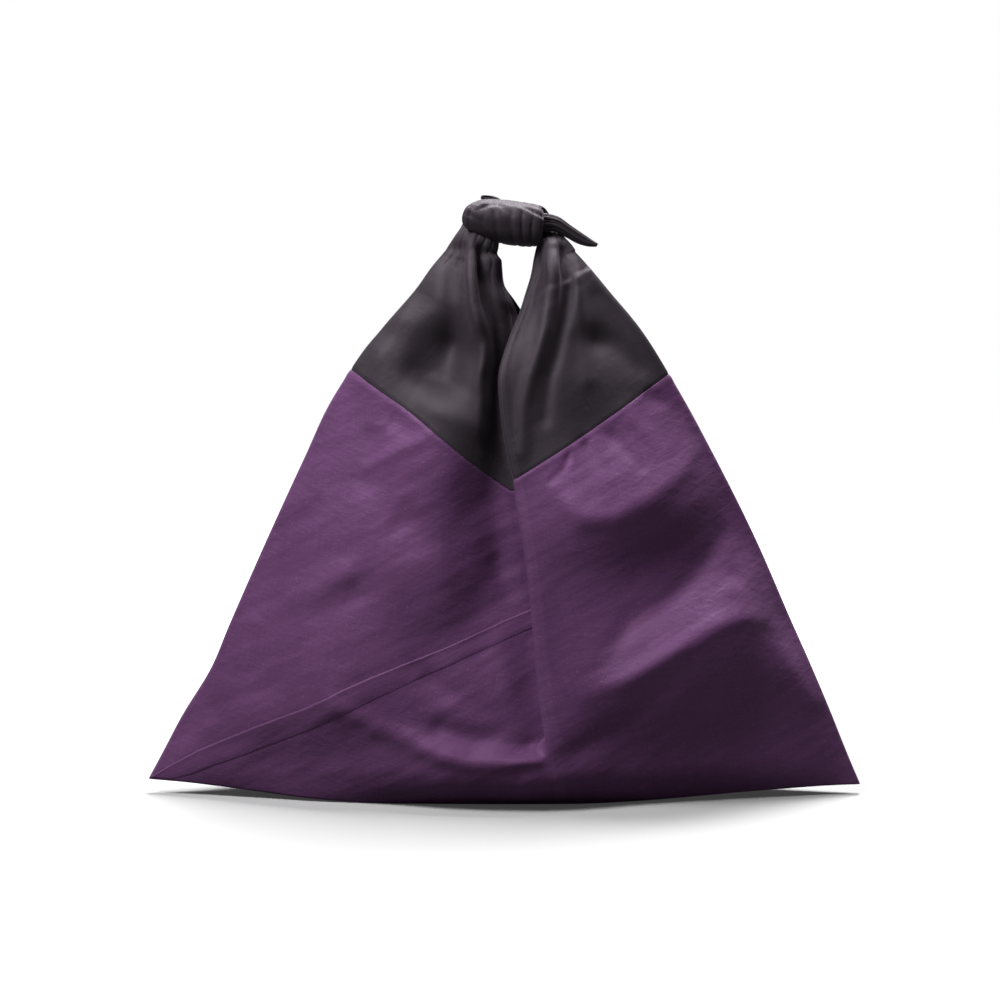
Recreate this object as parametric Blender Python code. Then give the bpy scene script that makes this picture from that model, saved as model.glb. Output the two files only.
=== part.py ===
"""An azuma bag: a pouch sewn from one strip of cloth, whose two dark corners are tied in a knot at the top.

Everything is worked out in millimetres and written in metres. +X runs to the right and +Y away from
the front. The bag stands on z = 0, with its origin under the middle of its base.
"""

import math
from collections import namedtuple

import bpy
import numpy as np

MM = 0.001

# Driving sizes.
CLOTH = 1.6  # thickness of a sheet
THIN_CORNER = 9.0  # how near a bottom corner the sheet thins
SEAM_GAP = 0.85  # between the body's top edge and a horn's lower edge
PLEAT_DEEP = 11.6  # from the outer leaf to the inner one behind it, outside to outside
LIP_TURN = 3.0  # radius of the outer leaf's fold
TUCK_TURN = 1.8  # radius of the inner leaf's fold
SOFT_STEP = 0.6  # the turn, in radians, under which the pleat is only a soft step
FOLD_RADIUS = 3.0  # of the cloth's turn at the sides of the bag
FOLD_SPREAD = 8.0  # how soon the faces part beyond that turn
HULL_ROUND = 34.0  # height over which the underside turns up from the base
SEAM_SHARE = 0.60  # level of the seam between the body and the horns
NOTCH_SHARE = 0.565  # level at which the mouth begins

# The outline seen from the front. share runs from the base, 0, to the knot, 1.
Level = namedtuple("Level", "share left_x left_y left_z right_x right_y right_z mouth_z")
LEVELS = (
    Level(0.00, -290, 2, 12, 290, -2, 7, 0),
    Level(0.06, -277, 2, 36, 279, -2, 34, 22),
    Level(0.12, -262, 1, 64, 266, -2, 66, 48),
    Level(0.20, -238, -2, 103, 249, 0, 106, 84),
    Level(0.28, -222, -3, 140, 232, 3, 144, 122),
    Level(0.38, -193, -1, 205, 205, 3, 205, 168),
    Level(0.50, -160, 2, 276, 169, 0, 276, 219),
    Level(0.565, -139, 3, 320, 145, -1, 320, 248),
    Level(0.60, -126, 3, 342, 133, -1, 339, 263),
    Level(0.70, -98, 2, 378, 109, 0, 378, 310),
    Level(0.80, -72, 0, 408, 84, 2, 408, 356),
    Level(0.90, -58, -1, 427, 68, 2, 427, 400),
    Level(1.00, -47, 0, 440, 57, 1, 439, 432),
)

# The two leaves of cloth that pass each other at the middle of one face. The lip is the fold of the
# outer leaf, and the tuck is the fold or edge of the inner leaf, which lies behind it. curl is how far
# each edge turns back, 1 being flat on itself, and hem how far it goes on beyond the turn.
Mouth = namedtuple("Mouth", "height lip_x tuck_x curl lip_hem tuck_hem apart")
FRONT_MOUTH = (
    Mouth(0, 42, 20, 1, 0, 0, 0),
    Mouth(22, 39.5, 22, 1, 0, 0, 0),
    Mouth(30, 38, 26, 1, 0, 0, 0),
    Mouth(40, 36, 33, 1, 0, 0, 0),
    Mouth(60, 34, 37, 1, 0, 0, 0),
    Mouth(85, 31, 41.5, 1, 0, 0, 0),
    Mouth(120, 27, 47, 1, 0, 0, 0),
    Mouth(168, 23, 52, 1, 0, 0, 0),
    Mouth(210, 18, 52, 1, 0, 0, 0),
    Mouth(248, 11.5, 46, 1, 17, 17, 0),
    Mouth(263, 10, 38, 0.8, 9, 6, 2.5),
    Mouth(290, 4, 29, 0.65, 5, 3, 4),
    Mouth(318, 0, 20, 0.55, 3, 2, 6),
    Mouth(345, -1, 13, 0.5, 2, 1.5, 6),
    Mouth(372, 2.5, 8, 0.5, 1.5, 1.2, 6),
    Mouth(400, 15, 1, 0.4, 1.5, 1, 4),
    Mouth(425, 26, -3, 0.33, 1.5, 1.2, 3),
    Mouth(440, 29, -6, 0.3, 1.5, 1.2, 2),
)
BACK_MOUTH = (
    Mouth(0, 30, 8, 1, 0, 0, 0),
    Mouth(22, 28, 10, 1, 0, 0, 0),
    Mouth(30, 27, 15, 1, 0, 0, 0),
    Mouth(40, 25.5, 22.5, 1, 0, 0, 0),
    Mouth(60, 24, 27, 1, 0, 0, 0),
    Mouth(85, 21.5, 32, 1, 0, 0, 0),
    Mouth(120, 18, 38, 1, 0, 0, 0),
    Mouth(168, 14, 43, 1, 0, 0, 0),
    Mouth(210, 10, 43, 1, 0, 0, 0),
    Mouth(248, 5, 38, 1, 16.5, 16.5, 0),
    Mouth(263, 2, 33, 0.8, 9, 6, 2.5),
    Mouth(290, -6, 24, 0.65, 5, 3, 4),
    Mouth(318, -13, 14, 0.55, 3, 2, 6),
    Mouth(345, -17, 6, 0.5, 2, 1.5, 6),
    Mouth(372, -17, -3, 0.5, 1.5, 1.2, 6),
    Mouth(400, -13, -13, 0.4, 1.5, 1, 4),
    Mouth(425, -2, -22, 0.33, 1.5, 1.2, 3),
    Mouth(440, 3, -25, 0.3, 1.5, 1.2, 2),
)

# How far the cloth stands out from the middle plane, at chosen places of each leaf.
Place = namedtuple("Place", "x z out")
FRONT_INNER_LEAF = (
    Place(-290, 12, 0), Place(-262, 64, 0), Place(-222, 140, 0), Place(-193, 205, 0),
    Place(-160, 276, 0), Place(-126, 342, 0), Place(-98, 378, 0), Place(-72, 408, 0), Place(-46, 440, 0),
    Place(-248, 20, 14), Place(-191, 40, 32), Place(-134, 66, 52), Place(-60, 36, 68), Place(0, 30, 72),
    Place(-60, 72, 63), Place(-3, 62, 65), Place(-68, 97, 57), Place(5, 100, 59),
    Place(-60, 122, 54), Place(10, 148, 50), Place(-190, 90, 28), Place(-150, 130, 40),
    Place(-101, 162, 48), Place(-44, 195, 48), Place(-5, 195, 42),
    Place(-134, 240, 24), Place(-85, 230, 41), Place(-85, 283, 35), Place(-36, 260, 42), Place(-8, 245, 38),
    Place(-85, 335, 21), Place(-52, 322, 33), Place(-20, 308, 38), Place(-4, 308, 34),
    Place(-60, 388, 15), Place(-28, 382, 29), Place(-5, 374, 26),
    Place(-38, 430, 8), Place(-20, 432, 15), Place(-6, 432, 11), Place(-22, 446, 10),
)
FRONT_OUTER_LEAF = (
    Place(290, 7, 0), Place(266, 66, 0), Place(232, 144, 0), Place(205, 205, 0), Place(169, 276, 0),
    Place(133, 339, 0), Place(109, 378, 0), Place(84, 408, 0), Place(56, 440, 0),
    Place(37, 38, 74), Place(32, 80, 71), Place(27, 120, 66), Place(23, 165, 61), Place(18, 210, 56),
    Place(11, 248, 51), Place(4, 290, 46), Place(0, 318, 43), Place(-1, 345, 40), Place(3, 372, 36),
    Place(15, 400, 27), Place(26, 425, 16), Place(29, 440, 10),
    Place(70, 300, 41), Place(111, 325, 18), Place(62, 240, 63), Place(119, 246, 48), Place(155, 262, 14),
    Place(46, 195, 62), Place(111, 195, 60), Place(165, 215, 33), Place(78, 125, 68), Place(143, 165, 57),
    Place(188, 200, 16), Place(70, 80, 77), Place(111, 100, 78), Place(160, 130, 69), Place(208, 150, 33),
    Place(241, 100, 17), Place(262, 60, 9), Place(94, 44, 62), Place(160, 58, 48), Place(209, 70, 33),
    Place(240, 40, 20), Place(70, 342, 31), Place(46, 300, 44), Place(54, 388, 24), Place(33, 382, 31),
    Place(78, 398, 11), Place(46, 430, 10),
)
BACK_INNER_LEAF = (
    Place(-290, 7, 0), Place(-266, 66, 0), Place(-232, 144, 0), Place(-205, 205, 0),
    Place(-169, 276, 0), Place(-133, 339, 0), Place(-109, 378, 0), Place(-84, 408, 0), Place(-56, 440, 0),
    Place(-248, 20, 13), Place(-185, 38, 34), Place(-120, 52, 58), Place(-50, 40, 72), Place(5, 36, 74),
    Place(-190, 95, 28), Place(-110, 110, 56), Place(-20, 110, 62), Place(-150, 160, 38), Place(-60, 190, 52),
    Place(-100, 235, 40), Place(-10, 200, 48), Place(-30, 262, 43), Place(-85, 300, 29),
    Place(-30, 318, 38), Place(-70, 370, 17), Place(-35, 382, 29), Place(-46, 428, 9), Place(-30, 432, 13),
)
BACK_OUTER_LEAF = (
    Place(290, 12, 0), Place(262, 64, 0), Place(222, 140, 0), Place(193, 205, 0), Place(160, 276, 0),
    Place(126, 342, 0), Place(98, 378, 0), Place(72, 408, 0), Place(46, 440, 0),
    Place(26, 38, 75), Place(18, 120, 68), Place(10, 210, 57), Place(5, 248, 51), Place(-6, 290, 45),
    Place(-16, 330, 40), Place(-17, 372, 34), Place(-12, 400, 26), Place(-2, 425, 15), Place(3, 440, 10),
    Place(70, 66, 77), Place(140, 90, 62), Place(200, 60, 34), Place(235, 28, 20), Place(80, 150, 66),
    Place(150, 160, 42), Place(60, 225, 60), Place(120, 235, 36), Place(50, 295, 43), Place(90, 330, 20),
    Place(25, 345, 38), Place(50, 385, 20), Place(22, 425, 15), Place(38, 428, 8),
)

# How far the base reaches forward and back, by its distance from the middle.
Base = namedtuple("Base", "x reach lift")
BASE = (
    Base(-290, 0, 12), Base(-262, 6, 7), Base(-225, 14, 3.2), Base(-190, 21, 1.0), Base(-160, 27, 0),
    Base(-100, 33, 0), Base(0, 36, 0), Base(100, 33, 0), Base(160, 27, 0),
    Base(190, 22, 0.6), Base(225, 14, 2.0), Base(262, 6, 4.2), Base(290, 0, 7),
)

# Soft ridges and, where tall is negative, troughs. Each runs from one point to the next on a face.
Fold = namedtuple("Fold", "x0 z0 x1 z1 tall wide")
FRONT_INNER_FOLDS = (
    Fold(-30, 446, -44, 330, 4.5, 8), Fold(-23, 446, -18, 350, -5.0, 6), Fold(-15, 446, 2, 330, 5.0, 7),
    Fold(-40, 430, -78, 340, -3.0, 12), Fold(-10, 205, 22, 150, -4.0, 12),
)
FRONT_OUTER_FOLDS = (
    Fold(36, 444, 22, 345, 4.5, 9), Fold(20, 345, 12, 275, 3.0, 9), Fold(44, 444, 44, 330, -4.0, 8),
    Fold(50, 430, 66, 330, 3.0, 9), Fold(60, 425, 100, 345, -3.0, 11),
    Fold(60, 240, 150, 265, 3.0, 10), Fold(55, 66, 190, 152, 3.5, 11),
)
BACK_INNER_FOLDS = (
    Fold(-44, 444, -52, 340, 5.0, 8), Fold(-36, 444, -30, 330, -5.0, 7), Fold(-29, 444, -12, 340, 4.5, 8),
    Fold(-150, 120, -20, 160, -3.0, 14),
)
BACK_OUTER_FOLDS = (
    Fold(10, 444, -4, 340, 6.0, 9), Fold(18, 444, 20, 320, -5.0, 8), Fold(27, 444, 48, 330, 4.0, 9),
    Fold(40, 80, 180, 120, 3.5, 14), Fold(60, 235, 130, 200, -3.0, 14),
)

# Where a horn's two leaves close into one bunch: the level, and how far the bunch stands out of them.
Bunch = namedtuple("Bunch", "share out")
BUNCH = (Bunch(0.968, -1.0), Bunch(0.985, -0.5), Bunch(1.0, 0.2))
TOP_INSET = 0.9  # how far inside the bunch a horn's top edge ends
# One strand of bunched cloth through the knot: its middle, and its size across and through.
Strand = namedtuple("Strand", "x y z wide thick")
LEFT_STRAND = (
    Strand(-24, 2.5, 444.2, 34, 22), Strand(-24.6, 1.5, 449.8, 22.5, 19), Strand(-25.4, 0.5, 456, 17.5, 17),
    Strand(-23.5, 1.5, 462.8, 16.2, 17), Strand(-19.7, 3, 466.9, 15.8, 17),
    Strand(-14.5, 4.2, 469, 15.8, 17.3), Strand(-8, 5, 468.8, 16.4, 17.5), Strand(3, 5.2, 466.6, 17, 17.5),
    Strand(18, 5.2, 465, 16.5, 17), Strand(31, 5, 465.8, 15, 15.5), Strand(42, 4.6, 463.6, 12.5, 13),
    Strand(53, 5.5, 459, 10.5, 10), Strand(64.5, 7, 452.6, 9, 7.5), Strand(72.5, 8, 447.8, 5.5, 5),
    Strand(77, 8, 446.4, 3.2, 3),
)
CORE_ROUND = 9.8  # half the left strand's size inside the wrap
CORE_LEAN = -0.16  # how the left strand falls towards the right there
WRAP_SPACE = 0.8
# The right strand climbs behind the left one and then winds round it, over the top and down the front.
RIGHT_CLIMB = (
    Strand(42.5, 3.5, 441, 24, 19), Strand(41.8, 9, 444.5, 18.5, 15), Strand(41.2, 15, 448, 16, 12),
)
# turn is the angle about the left strand, 90 at the back, 0 on top and -90 at the front.
Turn = namedtuple("Turn", "turn x wide thick")
RIGHT_WRAP = (
    Turn(115, 41, 14.5, 8), Turn(85, 39.5, 14, 7.5), Turn(55, 35.5, 18, 7.5), Turn(25, 27.5, 26, 7.5),
    Turn(-5, 19, 34, 7.5), Turn(-35, 11.5, 42, 7.5), Turn(-62, 9, 47, 8), Turn(-88, 8.5, 48, 8.5),
    Turn(-112, 9, 46, 8.5), Turn(-136, 10, 43, 8.5), Turn(-160, 11, 40, 8), Turn(-185, 11, 37, 7.5),
    Turn(-212, 10, 32, 7.5), Turn(-240, 6.5, 28, 7.5), Turn(-265, 1, 24, 7.5), Turn(-288, -5, 20, 7),
)
RIGHT_TIP = (
    Strand(-9.5, 13.5, 480.5, 16, 6.5), Strand(-12.5, 10.5, 485, 12.5, 5.5), Strand(-14.5, 8.5, 487.5, 7, 4),
)

# How many faces each stretch gets.
LEAF_COLUMNS = 12
TUCK_COLUMNS = 3
TURN_COLUMNS = 3
MIDDLE_COLUMNS = 2
BASE_ROWS = 4
BODY_SHARES = (0, 0.025, 0.055, 0.08, 0.10, 0.115, 0.135, 0.16, 0.20, 0.26, 0.33, 0.40, 0.47, 0.52, NOTCH_SHARE, SEAM_SHARE)
HORN_SHARES = (SEAM_SHARE, 0.64, 0.69, 0.74, 0.79, 0.84, 0.88, 0.92, 0.96, 1.0)
STRAND_SIDES = 20
STRAND_STEPS = 2

Material = namedtuple("Material", "name colour roughness")
PURPLE = Material("purple nylon", (0.118, 0.048, 0.130), 0.46)
DARK = Material("aubergine cotton", (0.026, 0.021, 0.028), 0.74)


def column(table, name):
    return np.array([getattr(row, name) for row in table], float)


def smooth(at, places, values):
    """A curve through the values, with the slope of its neighbours at each."""
    slopes = np.gradient(values, places)
    at = np.clip(at, places[0], places[-1])
    i = np.clip(np.searchsorted(places, at, side="right") - 1, 0, len(places) - 2)
    span = places[i + 1] - places[i]
    t = (at - places[i]) / span
    start, end = values[i], values[i + 1]
    rise, fall = slopes[i] * span, slopes[i + 1] * span
    return (
        start * (1 + 2 * t) * (1 - t) ** 2
        + rise * t * (1 - t) ** 2
        + end * t * t * (3 - 2 * t)
        + fall * t * t * (t - 1)
    )


def ease(t):
    t = np.clip(t, 0, 1)
    return t * t * (3 - 2 * t)


def bending_plate(places):
    """A function of x and z that passes through the places as a thin plate would."""
    x, z, out = (column(places, name) for name in Place._fields)
    centre = np.stack([x, z], 1) / 100

    def kernel(a):
        far = ((a[:, None] - centre[None]) ** 2).sum(2)
        return far * np.log(far + 1e-9)

    count = len(places)
    ones = np.ones((count, 1))
    flat = np.hstack([ones, centre])
    matrix = np.zeros((count + 3, count + 3))
    matrix[:count, :count] = kernel(centre) + 0.01 * np.eye(count)
    matrix[:count, count:] = flat
    matrix[count:, :count] = flat.T
    weights = np.linalg.solve(matrix, np.concatenate([out, np.zeros(3)]))

    def depth(x, z):
        at = np.stack([np.atleast_1d(x), np.atleast_1d(z)], 1) / 100
        return kernel(at) @ weights[:count] + np.hstack([np.ones((len(at), 1)), at]) @ weights[count:]

    return depth


def relief(folds, x, z):
    """The height that the ridges and troughs add at x, z."""
    total = np.zeros_like(x)
    for fold in folds:
        along_x, along_z = fold.x1 - fold.x0, fold.z1 - fold.z0
        long = along_x**2 + along_z**2
        t = ((x - fold.x0) * along_x + (z - fold.z0) * along_z) / long
        near = np.clip(t, 0, 1)
        off = np.hypot(x - fold.x0 - near * along_x, z - fold.z0 - near * along_z)
        total += fold.tall * np.exp(-((off / fold.wide) ** 2)) * (1 - 0.75 * ease(near))
    return total


class Face:
    """The front or the back of the bag. The back is worked out as if seen from behind, then turned round."""

    def __init__(self, turned, mouth, inner_places, outer_places, inner_folds, outer_folds):
        self.turned = turned
        self.mouth = mouth
        self.inner_depth = bending_plate(inner_places)
        self.outer_depth = bending_plate(outer_places)
        self.inner_folds = inner_folds
        self.outer_folds = outer_folds

    def side(self, share, right):
        """x, y, z of the bag's edge, in this face's own directions."""
        name = "right" if right != self.turned else "left"
        shares = column(LEVELS, "share")
        x, y, z = (smooth(share, shares, column(LEVELS, name + "_" + axis)) for axis in "xyz")
        return (-x, -y, z) if self.turned else (x, y, z)

    def at_mouth(self, height, name):
        return smooth(height, column(self.mouth, "height"), column(self.mouth, name))

    def base(self, x, name):
        global_x = -x if self.turned else x
        return np.maximum(smooth(global_x, column(BASE, "x"), column(BASE, name)), 0)

    def out(self, x, z, edge_x, outer):
        """How far the leaf stands out from the middle plane."""
        plate, folds = (
            (self.outer_depth, self.outer_folds) if outer else (self.inner_depth, self.inner_folds)
        )
        from_edge = np.abs(x - edge_x)
        turn = FOLD_RADIUS * np.sqrt(1 - (1 - np.clip(from_edge / FOLD_RADIUS, 0, 1)) ** 2)
        spread = 1 - np.exp(-from_edge / FOLD_SPREAD)
        depth = np.maximum(plate(x, z) + relief(folds, x, z), 0) * spread
        reach = self.base(x, "reach")
        height = np.clip((z - self.base(x, "lift")) / HULL_ROUND, 0, 1)
        return turn + reach + (depth - reach) * (1 - (1 - height) ** 2)

    def row(self, share):
        """The points of one level, from this face's left edge to its right, with the notch's column twice."""
        left, right = self.side(share, False), self.side(share, True)
        height = float(smooth(share, column(LEVELS, "share"), column(LEVELS, "mouth_z")))
        at = {name: float(self.at_mouth(height, name)) for name in Mouth._fields}
        lip, tuck, apart = at["lip_x"], at["tuck_x"], at["apart"]
        closed = share <= NOTCH_SHARE + 1e-6
        folded = float(ease((tuck - lip + 18) / 10)) if closed else 1.0
        over = min(1.0, folded * 3) if closed else float(ease((tuck - lip + 18) / 8))

        def level_z(x, edge, end):
            """The level falls from the bag's edge to the mouth, and follows the base lower down."""
            bend = 1 + 1.6 * math.exp(-share / 0.07)
            part = 1 - (1 - np.clip((x - edge[0]) / (end - edge[0]), 0, 1)) ** bend
            edge_up = edge[2] - self.base(edge[0], "lift")
            return self.base(x, "lift") + edge_up * (1 - part) + height * part

        def under_lip(x):
            """The outer leaf's depth above x, which the pleat's layers follow."""
            x = np.maximum(np.atleast_1d(x), lip)
            return self.out(x, np.full(len(x), height), right[0], True)

        start = min(lip, tuck) - 5.0
        leaf = np.concatenate([leaf_columns(left[0], start), np.linspace(start, tuck, TUCK_COLUMNS + 1)[1:]])
        leaf_z = level_z(leaf, left, start)
        behind = under_lip(leaf) - PLEAT_DEEP * folded - apart
        free = self.out(leaf, leaf_z, left[0], False)
        leaf_out = free + (behind - free) * ease((leaf - start + 26) / 26) * over
        outer = leaf_columns(right[0], lip)[::-1][1:]
        outer_z = level_z(outer, right, lip)
        outer_out = self.out(outer, outer_z, right[0], True)

        tuck_at, lip_at = float(leaf_out[-1]), float(under_lip(lip)[0])
        end, flank = pleat_turn(lip - tuck, lip_at - tuck_at) if closed else (math.pi * at["curl"], 0)
        turn = np.linspace(0, end, TURN_COLUMNS + 1)[1:]
        turn_back = np.linspace(end, 0, TURN_COLUMNS + 1)
        part = np.linspace(0, 1, MIDDLE_COLUMNS + 1)
        on_x, on_out = math.cos(end), math.sin(end)
        tuck_hem, lip_hem = (flank / 2, flank / 2) if closed else (at["tuck_hem"], at["lip_hem"])
        tuck_turn_x = tuck + TUCK_TURN * np.sin(turn)
        tuck_turn_out = tuck_at + TUCK_TURN * (1 - np.cos(turn))
        tuck_hem_x = tuck_turn_x[-1] + on_x * tuck_hem * part[1:]
        tuck_hem_out = tuck_turn_out[-1] + on_out * tuck_hem * part[1:]
        lip_turn_x = lip - LIP_TURN * np.sin(turn_back)
        lip_turn_out = lip_at - LIP_TURN * (1 - np.cos(turn_back))
        lip_hem_x = lip_turn_x[0] - on_x * lip_hem * part[::-1]
        lip_hem_out = lip_turn_out[0] - on_out * lip_hem * part[::-1]
        pleat_x = np.concatenate([tuck_turn_x, tuck_hem_x, lip_hem_x, lip_turn_x[1:]])
        pleat_out = np.concatenate([tuck_turn_out, tuck_hem_out, lip_hem_out, lip_turn_out[1:]])
        if end < SOFT_STEP:
            # Below the pleat the two leaves meet in a soft step.
            part = (np.arange(len(pleat_x)) + 1) / len(pleat_x)
            pleat_x = tuck + (lip - tuck) * part
            pleat_out = tuck_at + (lip_at - tuck_at) * ease(part)

        x = np.concatenate([leaf, pleat_x, outer])
        z = np.concatenate([leaf_z, np.full(len(pleat_x), height), outer_z])
        out = np.concatenate([leaf_out, pleat_out, outer_out])
        near = np.exp(-np.abs(x - left[0]) / 25) * left[1] + np.exp(-np.abs(x - right[0]) / 25) * right[1]
        way = -1 if self.turned else 1
        return np.stack([way * x, way * (near - out), z], 1)


def pleat_turn(apart, deep):
    """How far both turns of the pleat go round, and the length of cloth between them.

    apart is the way across from the inner turn to the outer one, which is negative where the leaves
    overlap, and deep is the way out.
    """
    radius = LIP_TURN + TUCK_TURN
    far = math.hypot(radius - deep, apart)
    end = math.atan2(apart, radius - deep) % (2 * math.pi) - math.acos(min(1.0, radius / far))
    return end, (apart - radius * math.sin(end)) / math.cos(end)


def notch_column():
    return LEAF_COLUMNS + TUCK_COLUMNS + TURN_COLUMNS + MIDDLE_COLUMNS


def leaf_columns(edge, end):
    """x of the columns from the bag's edge to the leaf's end, the first three round the turn at the edge."""
    way = math.copysign(1, end - edge)
    beyond = np.linspace(0, 1, LEAF_COLUMNS - 1)[1:] ** 1.15
    first = edge + way * FOLD_RADIUS
    return np.concatenate([[edge, edge + way * 0.29 * FOLD_RADIUS, first], first + (end - first) * beyond])


def split(points, faces):
    """Each four-sided face as two triangles, along its shorter diagonal."""
    triangles = []
    for face in faces:
        if len(face) == 3:
            triangles.append(face)
            continue
        a, b, c, d = face
        if np.linalg.norm(points[a] - points[c]) < np.linalg.norm(points[b] - points[d]):
            triangles += [(a, b, c), (a, c, d)]
        else:
            triangles += [(a, b, d), (b, c, d)]
    return triangles


def sheet_solid(name, points, faces, material, corners=()):
    """A closed solid: the outer faces, the same faces CLOTH further in, and a rim along every open edge.

    The sheet thins towards each of the corners, where its two walls come together.
    """
    points = np.array(points, float)
    faces = split(points, faces)
    normals = np.zeros_like(points)
    for face in faces:
        a, b, c = points[list(face)]
        across = np.cross(b - a, c - a)
        # Each corner counts by its angle, so that the split doesn't tilt the normals.
        for corner, (at, left, right) in zip(face, ((a, b, c), (b, c, a), (c, a, b))):
            sides = (left - at) / np.linalg.norm(left - at), (right - at) / np.linalg.norm(right - at)
            angle = math.acos(max(-1.0, min(1.0, float(sides[0] @ sides[1]))))
            normals[corner] += across / np.linalg.norm(across) * angle
    normals /= np.linalg.norm(normals, axis=1)[:, None]
    cloth = np.full(len(points), CLOTH)
    for corner in corners:
        cloth *= np.clip(np.linalg.norm(points - corner, axis=1) / THIN_CORNER, 0.1, 1)
    inner = points - normals * cloth[:, None]
    count = len(points)
    sides = {(a, b) for face in faces for a, b in zip(face, face[1:] + face[:1])}
    rims = [(b, a, a + count, b + count) for a, b in sorted(sides) if (b, a) not in sides]
    back = [tuple(corner + count for corner in reversed(face)) for face in faces]
    return make_object(name, np.vstack([points, inner]), [*faces, *back, *rims], material)


def make_object(name, points, faces, material):
    mesh = bpy.data.meshes.new(name)
    mesh.from_pydata([tuple(point) for point in np.asarray(points) * MM], [], faces)
    mesh.shade_smooth()
    mesh.set_sharp_from_angle(angle=math.radians(60))
    made = bpy.data.objects.new(name, mesh)
    bpy.context.scene.collection.objects.link(made)
    made.data.materials.append(cloth_material(material))
    return made


def cloth_material(material):
    found = bpy.data.materials.get(material.name)
    if found:
        return found
    made = bpy.data.materials.new(material.name)
    made.use_nodes = True
    shader = made.node_tree.nodes["Principled BSDF"]
    shader.inputs["Base Color"].default_value = (*material.colour, 1)
    shader.inputs["Roughness"].default_value = material.roughness
    shader.inputs["Metallic"].default_value = 0
    return made


def ring_faces(lower, upper):
    return [
        (lower[i], lower[i + 1], upper[i + 1], upper[i])
        for i in range(len(lower) - 1)
    ]


def build_body(front, back):
    """The purple pouch: its base, its two faces and the start of the mouth at the middle of each."""
    points, faces = [], []

    def add(rows):
        first = len(points)
        points.extend(rows)
        return list(range(first, len(points)))

    notch = notch_column()
    below = None
    gap_share = SEAM_GAP / 2 / 420
    for share in BODY_SHARES:
        level = share if share < SEAM_SHARE else SEAM_SHARE - gap_share
        front_row, back_row = front.row(level), back.row(level)
        middle = (front_row[0] + back_row[-1]) / 2, (front_row[-1] + back_row[0]) / 2
        front_row[0], front_row[-1] = middle
        if share <= NOTCH_SHARE:
            # The doubled notch column is one line of points as long as the pleat is closed.
            seam_front = np.delete(front_row, notch + 1, 0)
            seam_back = np.delete(back_row, notch + 1, 0)
            ring = add(seam_front)
            rest = add(seam_back[1:-1])
            loop = [*ring, *rest, ring[0]]
            if below is not None:
                faces.extend(ring_faces(below, loop))
            else:
                base = ring, [ring[-1], *rest, ring[0]]
            below, last = loop, (ring, rest)
            continue
        ring, rest = last
        width = len(ring) - 1
        ids = add(front_row)
        others = add(back_row[1:-1])
        back_ids = [ids[-1], *others, ids[0]]
        back_below = [ring[-1], *rest, ring[0]]
        left_top, right_top = ids[: notch + 1], ids[notch + 1 :]
        faces.extend(ring_faces(ring[: notch + 1], left_top))
        faces.extend(ring_faces(ring[notch:], right_top))
        faces.extend(ring_faces(back_below[: notch + 1], back_ids[: notch + 1]))
        faces.extend(ring_faces(back_below[notch:], back_ids[notch + 1 :]))
        assert width == len(ring) - 1
    faces.extend(base_faces(points, base))
    corners = points[base[0][0]], points[base[0][-1]]
    return sheet_solid("body", points, faces, PURPLE, corners)


def base_faces(points, base):
    """The base between the front's lowest row and the back's, column by column."""
    front_ids, back_ids = base
    back_ids = back_ids[::-1]
    lines = []
    for a, b in zip(front_ids, back_ids):
        if a == b:
            lines.append([a] * (BASE_ROWS + 1))
            continue
        line = [a]
        for step in range(1, BASE_ROWS):
            share = step / BASE_ROWS
            line.append(len(points))
            points.append(points[a] * (1 - share) + points[b] * share)
        lines.append([*line, b])
    faces = []
    for left, right in zip(lines, lines[1:]):
        for step in range(BASE_ROWS):
            corners = (left[step], left[step + 1], right[step + 1], right[step])
            face = tuple(dict.fromkeys(corners))
            if len(face) > 2:
                faces.append(face)
    return faces


def horn_row(first, second, share):
    """One level of a horn: second's outer leaf, round the bag's edge, then first's inner leaf."""
    outer_part = second.row(share)[notch_column() + 1 :]
    inner_part = first.row(share)[: notch_column() + 1]
    outer_part[-1] = (outer_part[-1] + inner_part[0]) / 2
    return np.array([*outer_part, *inner_part[1:]])


def bunch_rings(first, second, way):
    """Closed rings where the leaves meet the strand. Each joins the leaves' outline across the mouth."""
    angles = np.linspace(0, 2 * math.pi, STRAND_SIDES, endpoint=False)
    rings = []
    for share, out in BUNCH:
        row = horn_row(first, second, share)
        middle = (row.min(0) + row.max(0)) / 2
        start, stop = row, np.roll(row, -1, 0)
        ring = []
        for angle in angles:
            aim = np.array((way * math.cos(angle), way * math.sin(angle)))
            side = stop[:, :2] - start[:, :2]
            cross = aim[0] * side[:, 1] - aim[1] * side[:, 0]
            cross = np.where(np.abs(cross) < 1e-9, 1e-9, cross)
            to = start[:, :2] - middle[:2]
            far = (to[:, 0] * side[:, 1] - to[:, 1] * side[:, 0]) / cross
            part = (to[:, 0] * aim[1] - to[:, 1] * aim[0]) / cross
            found = np.where((far > 0) & (part >= -1e-6) & (part <= 1 + 1e-6), far, -1)
            at = int(np.argmax(found))
            z = start[at, 2] + (stop[at, 2] - start[at, 2]) * part[at]
            ring.append((*(middle[:2] + aim * (found[at] + out)), z))
        rings.append(np.array(ring))
    return rings


def build_leaves(name, first, second):
    points, faces, below = [], [], None
    gap_share = SEAM_GAP / 2 / 420
    for share in HORN_SHARES:
        row = horn_row(first, second, share if share > SEAM_SHARE else SEAM_SHARE + gap_share)
        if share == HORN_SHARES[-1]:
            middle = (row.min(0) + row.max(0)) / 2
            size = (row.max(0) - row.min(0)) / 2
            row[:, :2] = middle[:2] + (row[:, :2] - middle[:2]) * (1 - TOP_INSET / size[:2])
        ids = list(range(len(points), len(points) + len(row)))
        points.extend(row)
        if below is not None:
            faces.extend(ring_faces(below, ids))
        below = ids
    return sheet_solid(name, points, faces, DARK)


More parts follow.
